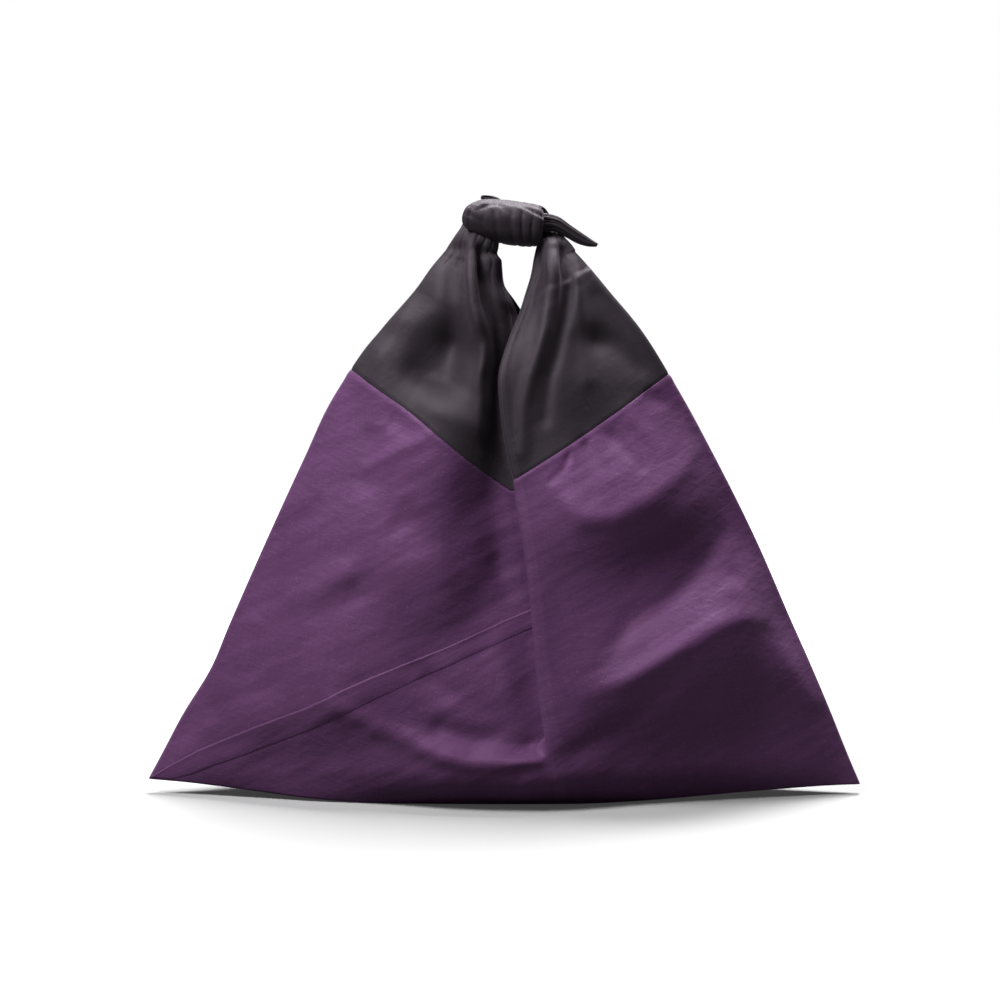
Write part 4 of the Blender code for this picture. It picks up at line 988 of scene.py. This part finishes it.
hornLeft, leftHems = buildHorn("horn_left_cloth", front, back, leftRings, leftGathers, front.folds[0], 458)
hornRight, rightHems = buildHorn("horn_right_cloth", back, front, rightRings, rightGathers,
                                 front.folds[1], 446)
print("dark corners made", len(hornLeft.data.polygons), len(hornRight.data.polygons))


# A group's sockets, from (name, kind, default) for each input and (name, kind) for each output.
def nodeGroup(name, inputs, outputs):
    group = bpy.data.node_groups.new(name, "ShaderNodeTree")
    for socket, kind, default in inputs:
        made = group.interface.new_socket(socket, in_out="INPUT", socket_type=kind)
        if default is not None:
            made.default_value = default
    for socket, kind in outputs:
        group.interface.new_socket(socket, in_out="OUTPUT", socket_type=kind)
    return group, group.nodes.new("NodeGroupInput"), group.nodes.new("NodeGroupOutput")


def mathNode(tree, kind, first, second=None):
    made = tree.nodes.new("ShaderNodeMath")
    made.operation = kind
    for socket, value in zip(made.inputs, (first, second)):
        if isinstance(value, (int, float)):
            socket.default_value = value
        elif value is not None:
            tree.links.new(value, socket)
    return made.outputs[0]


def noiseNode(tree, vector, stretch, turn=0.0, detail=2.0):
    place = tree.nodes.new("ShaderNodeMapping")
    place.vector_type = "TEXTURE"
    place.inputs["Scale"].default_value = stretch
    place.inputs["Rotation"].default_value = (0, turn, 0)
    tree.links.new(vector, place.inputs["Vector"])
    made = tree.nodes.new("ShaderNodeTexNoise")
    made.inputs["Scale"].default_value = 1.0
    made.inputs["Detail"].default_value = detail
    tree.links.new(place.outputs["Vector"], made.inputs["Vector"])
    return made.outputs["Fac"]


# Threads over and under each other, with uneven ones among them.
def weaveGroup():
    group, given, result = nodeGroup("weave", (
        ("Cloth Map", "NodeSocketVector", None), ("Threads", "NodeSocketFloat", 900.0),
    ), (("Height", "NodeSocketFloat"), ("Thread Shade", "NodeSocketFloat")))
    split = group.nodes.new("ShaderNodeSeparateXYZ")
    group.links.new(given.outputs["Cloth Map"], split.inputs[0])
    waves = []
    for axis in ("X", "Y"):
        turns = mathNode(group, "MULTIPLY", split.outputs[axis], given.outputs["Threads"])
        waves.append(mathNode(group, "SINE", mathNode(group, "MULTIPLY", turns, 2 * math.pi)))
    woven = mathNode(group, "MULTIPLY", waves[0], waves[1])
    long = noiseNode(group, given.outputs["Cloth Map"], (0.05, 0.0009, 1))
    short = noiseNode(group, given.outputs["Cloth Map"], (0.0009, 0.05, 1))
    uneven = mathNode(group, "MULTIPLY", mathNode(group, "ADD", long, short), 0.5)
    height = mathNode(group, "ADD", mathNode(group, "MULTIPLY", woven, 0.25), uneven)
    group.links.new(height, result.inputs["Height"])
    group.links.new(uneven, result.inputs["Thread Shade"])
    return group


# Soft patches, crinkles, a little lint, and painted highlight: the third output lightens the cloth with
# lint specks and with a painted highlight along folded edges and over the knot, where the mesh's attribute
# says so.
def useAndHighlightGroup():
    group, given, result = nodeGroup("useAndHighlight", (
        ("Position", "NodeSocketVector", None), ("Painted Highlight", "NodeSocketFloat", 0.0),
    ), (("Patch", "NodeSocketFloat"), ("Crinkle", "NodeSocketFloat"), ("Lint And Highlight", "NodeSocketFloat")))
    patch = noiseNode(group, given.outputs["Position"], (0.07, 0.07, 0.07), 0.0, 4.0)
    broad = noiseNode(group, given.outputs["Position"], (0.034, 0.03, 0.0085), -0.5, 5.0)
    cross = noiseNode(group, given.outputs["Position"], (0.012, 0.02, 0.004), 0.35, 3.0)
    crinkle = mathNode(group, "ADD", mathNode(group, "MULTIPLY", broad, 0.7),
                       mathNode(group, "MULTIPLY", cross, 0.3))
    specks = noiseNode(group, given.outputs["Position"], (0.0016, 0.0016, 0.0016), 0.0, 1.0)
    lint = mathNode(group, "MULTIPLY", mathNode(group, "GREATER_THAN", specks, 0.73), 0.5)
    lintAndHighlight = mathNode(group, "ADD", lint, mathNode(group, "MULTIPLY", given.outputs["Painted Highlight"], 0.35))
    group.links.new(patch, result.inputs["Patch"])
    group.links.new(crinkle, result.inputs["Crinkle"])
    group.links.new(lintAndHighlight, result.inputs["Lint And Highlight"])
    return group


# Colours are linear; the third is the colour of the lint specks and of the painted highlight along folded
# edges and over the knot. crinkle and weave are the depths of the two bumps in metres.
clothLooks = {
    "purple nylon": {
        "low": (0.088, 0.033, 0.096), "high": (0.150, 0.060, 0.158), "lintAndHighlight": (0.24, 0.12, 0.25),
        "roughness": 0.52, "roughSpread": 0.16, "specular": 0.34, "tint": (0.86, 0.52, 0.92),
        "sheen": 0.12, "sheenTint": (0.75, 0.45, 0.80),
        "threads": 1500.0, "crinkle": 0.0012, "weave": 0.00006,
    },
    "aubergine cotton": {
        "low": (0.0165, 0.0120, 0.0170), "high": (0.0310, 0.0235, 0.0320), "lintAndHighlight": (0.055, 0.043, 0.056),
        "roughness": 0.60, "roughSpread": 0.10, "specular": 0.42, "tint": (1.0, 0.90, 1.0),
        "sheen": 0.20, "sheenTint": (0.62, 0.50, 0.62),
        "threads": 900.0, "crinkle": 0.0005, "weave": 0.00016,
    },
    "purple thread": {
        "low": (0.030, 0.010, 0.034), "high": (0.060, 0.022, 0.064), "lintAndHighlight": (0.12, 0.06, 0.12),
        "roughness": 0.55, "roughSpread": 0.10, "specular": 0.35, "tint": (0.9, 0.6, 0.95),
        "sheen": 0.1, "sheenTint": (0.75, 0.45, 0.80), "threads": 2500.0, "crinkle": 0.0, "weave": 0.00004,
    },
    "dark thread": {
        "low": (0.012, 0.009, 0.012), "high": (0.026, 0.021, 0.027), "lintAndHighlight": (0.05, 0.04, 0.05),
        "roughness": 0.75, "roughSpread": 0.10, "specular": 0.25, "tint": (1.0, 0.9, 1.0),
        "sheen": 0.1, "sheenTint": (0.62, 0.50, 0.62), "threads": 2500.0, "crinkle": 0.0, "weave": 0.00004,
    },
}
weave, useAndHighlight = weaveGroup(), useAndHighlightGroup()


def mixColour(tree, share, first, second):
    made = tree.nodes.new("ShaderNodeMix")
    made.data_type = "RGBA"
    tree.links.new(share, made.inputs["Factor"])
    for name, value in (("A", first), ("B", second)):
        if isinstance(value, tuple):
            made.inputs[name].default_value = (*value, 1)
        else:
            tree.links.new(value, made.inputs[name])
    return made.outputs["Result"]


def clothMaterial(name):
    look = clothLooks[name]
    made = bpy.data.materials.new(name)
    made.use_nodes = True
    tree = made.node_tree
    shader = tree.nodes["Principled BSDF"]
    where = tree.nodes.new("ShaderNodeTexCoord")
    paintedHighlight = tree.nodes.new("ShaderNodeAttribute")
    paintedHighlight.attribute_name = "paintedHighlight"
    threads, surfaceNode = tree.nodes.new("ShaderNodeGroup"), tree.nodes.new("ShaderNodeGroup")
    threads.node_tree, surfaceNode.node_tree = weave, useAndHighlight
    threads.inputs["Threads"].default_value = look["threads"]
    tree.links.new(where.outputs["UV"], threads.inputs["Cloth Map"])
    tree.links.new(where.outputs["Object"], surfaceNode.inputs["Position"])
    tree.links.new(paintedHighlight.outputs["Fac"], surfaceNode.inputs["Painted Highlight"])
    spread = tree.nodes.new("ShaderNodeMapRange")
    spread.inputs["From Min"].default_value = 0.62
    spread.inputs["From Max"].default_value = 1.38
    together = mathNode(tree, "ADD", surfaceNode.outputs["Patch"], threads.outputs["Thread Shade"])
    tree.links.new(together, spread.inputs["Value"])
    plain = mixColour(tree, spread.outputs["Result"], look["low"], look["high"])
    # Lint specks and the painted highlight lighten the base colour.
    tree.links.new(mixColour(tree, surfaceNode.outputs["Lint And Highlight"], plain, look["lintAndHighlight"]), shader.inputs["Base Color"])
    rough = mathNode(tree, "MULTIPLY", surfaceNode.outputs["Patch"], look["roughSpread"])
    rough = mathNode(tree, "ADD", rough, look["roughness"] - look["roughSpread"] / 2)
    tree.links.new(rough, shader.inputs["Roughness"])
    shader.inputs["Specular IOR Level"].default_value = look["specular"]
    shader.inputs["Specular Tint"].default_value = (*look["tint"], 1)
    shader.inputs["Sheen Weight"].default_value = look["sheen"]
    shader.inputs["Sheen Roughness"].default_value = 0.45
    shader.inputs["Sheen Tint"].default_value = (*look["sheenTint"], 1)
    broad, fine = tree.nodes.new("ShaderNodeBump"), tree.nodes.new("ShaderNodeBump")
    for bump, height, depth in ((broad, surfaceNode.outputs["Crinkle"], look["crinkle"]),
                                (fine, threads.outputs["Height"], look["weave"])):
        bump.inputs["Distance"].default_value = depth
        tree.links.new(height, bump.inputs["Height"])
    tree.links.new(broad.outputs["Normal"], fine.inputs["Normal"])
    tree.links.new(fine.outputs["Normal"], shader.inputs["Normal"])
    return made


purpleNylon, darkCotton = clothMaterial("purple nylon"), clothMaterial("aubergine cotton")
purpleThread, darkThread = clothMaterial("purple thread"), clothMaterial("dark thread")
bodyCloth.data.materials.append(purpleNylon)
hornLeft.data.materials.append(darkCotton)
hornRight.data.materials.append(darkCotton)
print("cloth materials made")


# The long felled seam that climbs from the lower corner of each face. Its upper edge is folded, and its
# lower edge is sewn down. rise is its height over the cloth at each share of the way across.
felled = {
    "samples": 170,
    "cloth": 0.35,
    "strays": 0.35,     # a little unevenness, as sewing has
    "lipClear": 1.5,    # it goes under the outer leaf this far before the fold's turn
    # how far the cloth stands out under it, from the corner on
    "outMost": 62, "outFrom": 290, "outOver": 220,
    "rayFrom": 300, "rayMissed": 5,    # where a ray at the cloth starts, and where to look if it finds none
    "lineEnd": 280,     # no stitches beyond this, at the corner
    "rise": (-0.9, 0.35, 0.80, 0.70, 0.46, 0.36, 0.34, 0.32, 0.30, 0.20, 0.08, 0.20, -0.9),
    "across": (0.0, 0.01, 0.05, 0.10, 0.17, 0.30, 0.50, 0.68, 0.80, 0.86, 0.90, 0.96, 1.0),
    "stitchAt": 0.90,
}
# Its upper and lower edges, from the bag's corner to where it goes under the outer leaf.
SeamPlace = namedtuple("SeamPlace", "x z lowerX lowerZ")
seamPath = (
    SeamPlace(-288.5, 13.4, -268, 12.2), SeamPlace(-266, 27.5, -254, 16.5),
    SeamPlace(-243, 40, -231, 25.5), SeamPlace(-203, 58, -194, 40), SeamPlace(-159, 77, -152, 58.5),
    SeamPlace(-122, 96, -115, 78), SeamPlace(-78, 114, -73, 98), SeamPlace(-39, 129.5, -36, 114.5),
    SeamPlace(-8, 143, -5, 128), SeamPlace(34, 160, 37, 145),
)


# A point on the outside of the cloth at a place of a face, and the way out from it there.
def onFace(tree, x, z, turned):
    way = -1 if turned else 1
    start = Vector((way * x, -way * felled["rayFrom"], z)) * mm
    hit, normal, _, _ = tree.ray_cast(start, Vector((0, way, 0)))
    if hit is None:
        hit, normal, _, _ = tree.find_nearest(Vector((way * x, -way * felled["rayMissed"], z)) * mm)
    return np.array(hit) / mm, np.array(normal)


def felledSeam(name, face, mouth):
    tree = BVHTree.FromObject(bodyCloth, bpy.context.evaluated_depsgraph_get())
    places = np.linspace(0, 1, len(seamPath))
    at = np.linspace(0, 1, felled["samples"])
    upper = np.stack([smoothAt(at, places, column(seamPath, axis)) for axis in ("x", "z")], 1)
    lower = np.stack([smoothAt(at, places, column(seamPath, axis)) for axis in ("lowerX", "lowerZ")], 1)
    wave = 0.5 * np.sin(at * 41) + 0.3 * np.sin(at * 97 + 1)
    rows = []
    for i in range(len(at)):
        row = []
        for share, rise in zip(felled["across"], felled["rise"]):
            x, z = upper[i] + (lower[i] - upper[i]) * share
            z += wave[i] * felled["strays"]
            inwards = min(1, (x + felled["outFrom"]) / felled["outOver"])
            x, z = nearer(x, z, felled["outMost"] * math.sin(math.pi / 2 * inwards))
            lip = float(smoothAt(z, column(mouth, "height"), column(mouth, "lipX")))
            lip = lip - bag["lipTurn"] - felled["lipClear"]
            point, normal = onFace(tree, min(x, lip), z, face.turned)
            point = point + normal * rise
            point[0] += (-1 if face.turned else 1) * max(0.0, x - lip)
            row.append(point)
        rows.append(row)
    grid = np.array(rows)
    wide = len(felled["rise"])
    faces = gridFaces(len(rows), wide)
    clothMap = clothLengths(grid, 0).reshape(-1, 2)
    # Painted highlight: the folded upper edge of the seam is coloured lighter.
    paintedHighlight = np.tile(np.array(felled["rise"]) > 0.7, len(rows)).astype(float)
    points = grid.reshape(-1, 3) - settled
    turn = vertexNormals(points, faces)[:, 1].mean() * (-1 if face.turned else 1)
    if turn > 0:
        faces = [tuple(reversed(loop)) for loop in faces]
    made = meshObject(name, points, faces, clothMap, paintedHighlight)
    solid = made.modifiers.new("cloth", "SOLIDIFY")
    solid.thickness = felled["cloth"] * mm
    solid.offset = -1
    made.data = bpy.data.meshes.new_from_object(made.evaluated_get(bpy.context.evaluated_depsgraph_get()))
    made.modifiers.clear()
    made.data.materials.append(purpleNylon)
    sewn = grid[:, felled["across"].index(felled["stitchAt"])]
    return made, [list(point) for point in sewn if abs(point[0]) < felled["lineEnd"]]


frontFelled, frontSewn = felledSeam("front_felled_seam", front, frontMouth)
backFelled, backSewn = felledSeam("back_felled_seam", back, backMouth)

# Stitches: even lengths of thread along each sewn line, made by Geometry Nodes.
stitch = {"pitch": 3.0, "length": 2.2, "thread": 0.55}


def stitchTree():
    tree = bpy.data.node_groups.new("stitches", "GeometryNodeTree")
    tree.interface.new_socket("Geometry", in_out="INPUT", socket_type="NodeSocketGeometry")
    sockets = {name: tree.interface.new_socket(name, in_out="INPUT", socket_type="NodeSocketFloat")
               for name in ("Pitch", "Stitch Length", "Thread Width")}
    sockets["Thread"] = tree.interface.new_socket("Thread", in_out="INPUT",
                                                  socket_type="NodeSocketMaterial")
    tree.interface.new_socket("Geometry", in_out="OUTPUT", socket_type="NodeSocketGeometry")
    nodes, links = tree.nodes, tree.links
    given, result = nodes.new("NodeGroupInput"), nodes.new("NodeGroupOutput")
    line = nodes.new("GeometryNodeMeshToCurve")
    marks = nodes.new("GeometryNodeCurveToPoints")
    marks.mode = "LENGTH"
    thread = nodes.new("GeometryNodeMeshUVSphere")
    thread.inputs["Segments"].default_value = 8
    thread.inputs["Rings"].default_value = 6
    thread.inputs["Radius"].default_value = 0.5
    size = nodes.new("ShaderNodeCombineXYZ")
    place = nodes.new("GeometryNodeInstanceOnPoints")
    turn = nodes.new("FunctionNodeAlignRotationToVector")
    turn.axis = "X"
    real = nodes.new("GeometryNodeRealizeInstances")
    dress = nodes.new("GeometryNodeSetMaterial")
    links.new(given.outputs["Geometry"], line.inputs["Mesh"])
    links.new(line.outputs["Curve"], marks.inputs["Curve"])
    links.new(given.outputs["Pitch"], marks.inputs["Length"])
    links.new(marks.outputs["Points"], place.inputs["Points"])
    links.new(marks.outputs["Tangent"], turn.inputs["Vector"])
    links.new(turn.outputs["Rotation"], place.inputs["Rotation"])
    links.new(thread.outputs["Mesh"], place.inputs["Instance"])
    links.new(given.outputs["Stitch Length"], size.inputs["X"])
    links.new(given.outputs["Thread Width"], size.inputs["Y"])
    links.new(given.outputs["Thread Width"], size.inputs["Z"])
    links.new(size.outputs["Vector"], place.inputs["Scale"])
    links.new(place.outputs["Instances"], real.inputs["Geometry"])
    links.new(real.outputs["Geometry"], dress.inputs["Geometry"])
    links.new(given.outputs["Thread"], dress.inputs["Material"])
    links.new(dress.outputs["Geometry"], result.inputs["Geometry"])
    return tree, sockets


stitches, stitchSockets = stitchTree()


def sewLines(name, lines, material):
    mesh = bpy.data.meshes.new(name)
    points, edges = [], []
    for line in lines:
        edges += [(len(points) + i, len(points) + i + 1) for i in range(len(line) - 1)]
        points += [tuple(value * mm for value in point) for point in line]
    mesh.from_pydata(points, edges, [])
    made = bpy.data.objects.new(name, mesh)
    bpy.context.scene.collection.objects.link(made)
    modifier = made.modifiers.new("stitches", "NODES")
    modifier.node_group = stitches
    modifier[stitchSockets["Pitch"].identifier] = stitch["pitch"] * mm
    modifier[stitchSockets["Stitch Length"].identifier] = stitch["length"] * mm
    modifier[stitchSockets["Thread Width"].identifier] = stitch["thread"] * mm
    modifier[stitchSockets["Thread"].identifier] = material
    made.data = bpy.data.meshes.new_from_object(made.evaluated_get(bpy.context.evaluated_depsgraph_get()))
    made.modifiers.clear()
    made.data.shade_smooth()
    return made


def settledLine(line):
    return [list(np.array(point) + settled) for point in line]


bodyStitches = sewLines("felled_seam_stitches", [frontSewn, backSewn], purpleThread)
leftStitches = sewLines("left_hem_stitches", [settledLine(line) for line in leftHems], darkThread)
rightStitches = sewLines("right_hem_stitches", [settledLine(line) for line in rightHems], darkThread)
print("seams and stitches made", len(bodyStitches.data.polygons))

for piece, node, slot in ((bodyCloth, "body", "purple_nylon"), (hornLeft, "horn_left", "dark_cotton"),
                          (hornRight, "horn_right", "dark_cotton")):
    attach(piece, "root")
    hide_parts(node)
for piece, slot in ((frontFelled, "purple_nylon"), (backFelled, "purple_nylon"),
                    (bodyStitches, "purple_nylon"),
                    (leftStitches, "dark_cotton"), (rightStitches, "dark_cotton")):
    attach(piece, "root")


# The studio: a white table, a soft light high on the left in front, and a large one overhead.
studio = {
    "floorSize": 8.0,
    "floorShade": 0.56,
    "floorGlow": 0.04,
    "farGlow": 1.0, "farFrom": 0.42, "farTo": 0.95,
    "floorBounce": 0.13,
    "world": 0.065,
}
Light = namedtuple("Light", "name power size at")
lights = (
    Light("key", 41.0, 0.7, (-0.95, -0.87, 1.77)),
    Light("top", 72.0, 1.2, (0.25, 0.55, 1.90)),
)


def softLight(light, aim):
    data = bpy.data.lights.new(light.name, "AREA")
    data.shape = "SQUARE"
    data.size = light.size
    data.energy = light.power
    made = bpy.data.objects.new(light.name, data)
    made.location = light.at
    made.rotation_euler = (Vector(aim) - Vector(light.at)).to_track_quat("-Z", "Y").to_euler()
    bpy.context.scene.collection.objects.link(made)
    return made


# White wherever the camera sees it beyond the bag's shadow, and a plain grey surface to the rest of the
# scene.
def tableMaterial():
    made = bpy.data.materials.new("white table")
    made.use_nodes = True
    tree = made.node_tree
    nodes, links = tree.nodes, tree.links
    shader = nodes["Principled BSDF"]
    shader.inputs["Roughness"].default_value = 0.95
    shader.inputs["Specular IOR Level"].default_value = 0.1
    shader.inputs["Emission Color"].default_value = (1, 1, 1, 1)
    path = nodes.new("ShaderNodeLightPath")
    where = nodes.new("ShaderNodeTexCoord")
    away = nodes.new("ShaderNodeVectorMath")
    away.operation = "LENGTH"
    links.new(where.outputs["Object"], away.inputs[0])
    far = nodes.new("ShaderNodeMapRange")
    far.interpolation_type = "SMOOTHSTEP"
    far.inputs["From Min"].default_value = studio["farFrom"]
    far.inputs["From Max"].default_value = studio["farTo"]
    far.inputs["To Min"].default_value = studio["floorGlow"]
    far.inputs["To Max"].default_value = studio["farGlow"]
    links.new(away.outputs["Value"], far.inputs["Value"])
    links.new(mathNode(tree, "MULTIPLY", path.outputs["Is Camera Ray"], far.outputs["Result"]),
              shader.inputs["Emission Strength"])
    shade = mixColour(tree, path.outputs["Is Camera Ray"],
                      (studio["floorBounce"],) * 3, (studio["floorShade"],) * 3)
    links.new(shade, shader.inputs["Base Color"])
    return made


floorMesh = bpy.data.meshes.new("floor")
half = studio["floorSize"] / 2
floorCorners = (-half, -half, 0), (half, -half, 0), (half, half, 0), (-half, half, 0)
floorMesh.from_pydata(floorCorners, [], [(0, 1, 2, 3)])
floor = bpy.data.objects.new("floor", floorMesh)
bpy.context.scene.collection.objects.link(floor)
floorMesh.materials.append(tableMaterial())

world = bpy.data.worlds.new("studio")
world.use_nodes = True
sky = world.node_tree.nodes["Background"]
sky.inputs["Color"].default_value = (1, 1, 1, 1)
skyPath = world.node_tree.nodes.new("ShaderNodeLightPath")
skyMix = world.node_tree.nodes.new("ShaderNodeMapRange")
skyMix.inputs["To Min"].default_value = studio["world"]
skyMix.inputs["To Max"].default_value = 1.0
world.node_tree.links.new(skyPath.outputs["Is Camera Ray"], skyMix.inputs["Value"])
world.node_tree.links.new(skyMix.outputs["Result"], sky.inputs["Strength"])
bpy.context.scene.world = world
for light in lights:
    softLight(light, (0, 0, 0.25))

view = {"lens": 85, "sensor": 36, "distance": 1.901, "elevation": 6.0, "aim": (-0.0033, 0.0, 0.2405)}
camera = bpy.data.cameras.new("camera")
camera.lens = view["lens"]
camera.sensor_width = view["sensor"]
viewer = bpy.data.objects.new("camera", camera)
tilt = math.radians(view["elevation"])
aim = Vector(view["aim"])
viewer.location = aim + view["distance"] * Vector((0, -math.cos(tilt), math.sin(tilt)))
viewer.rotation_euler = (aim - viewer.location).to_track_quat("-Z", "Y").to_euler()
bpy.context.scene.collection.objects.link(viewer)
bpy.context.scene.camera = viewer
bpy.context.scene.view_settings.view_transform = "Standard"
print("studio set")
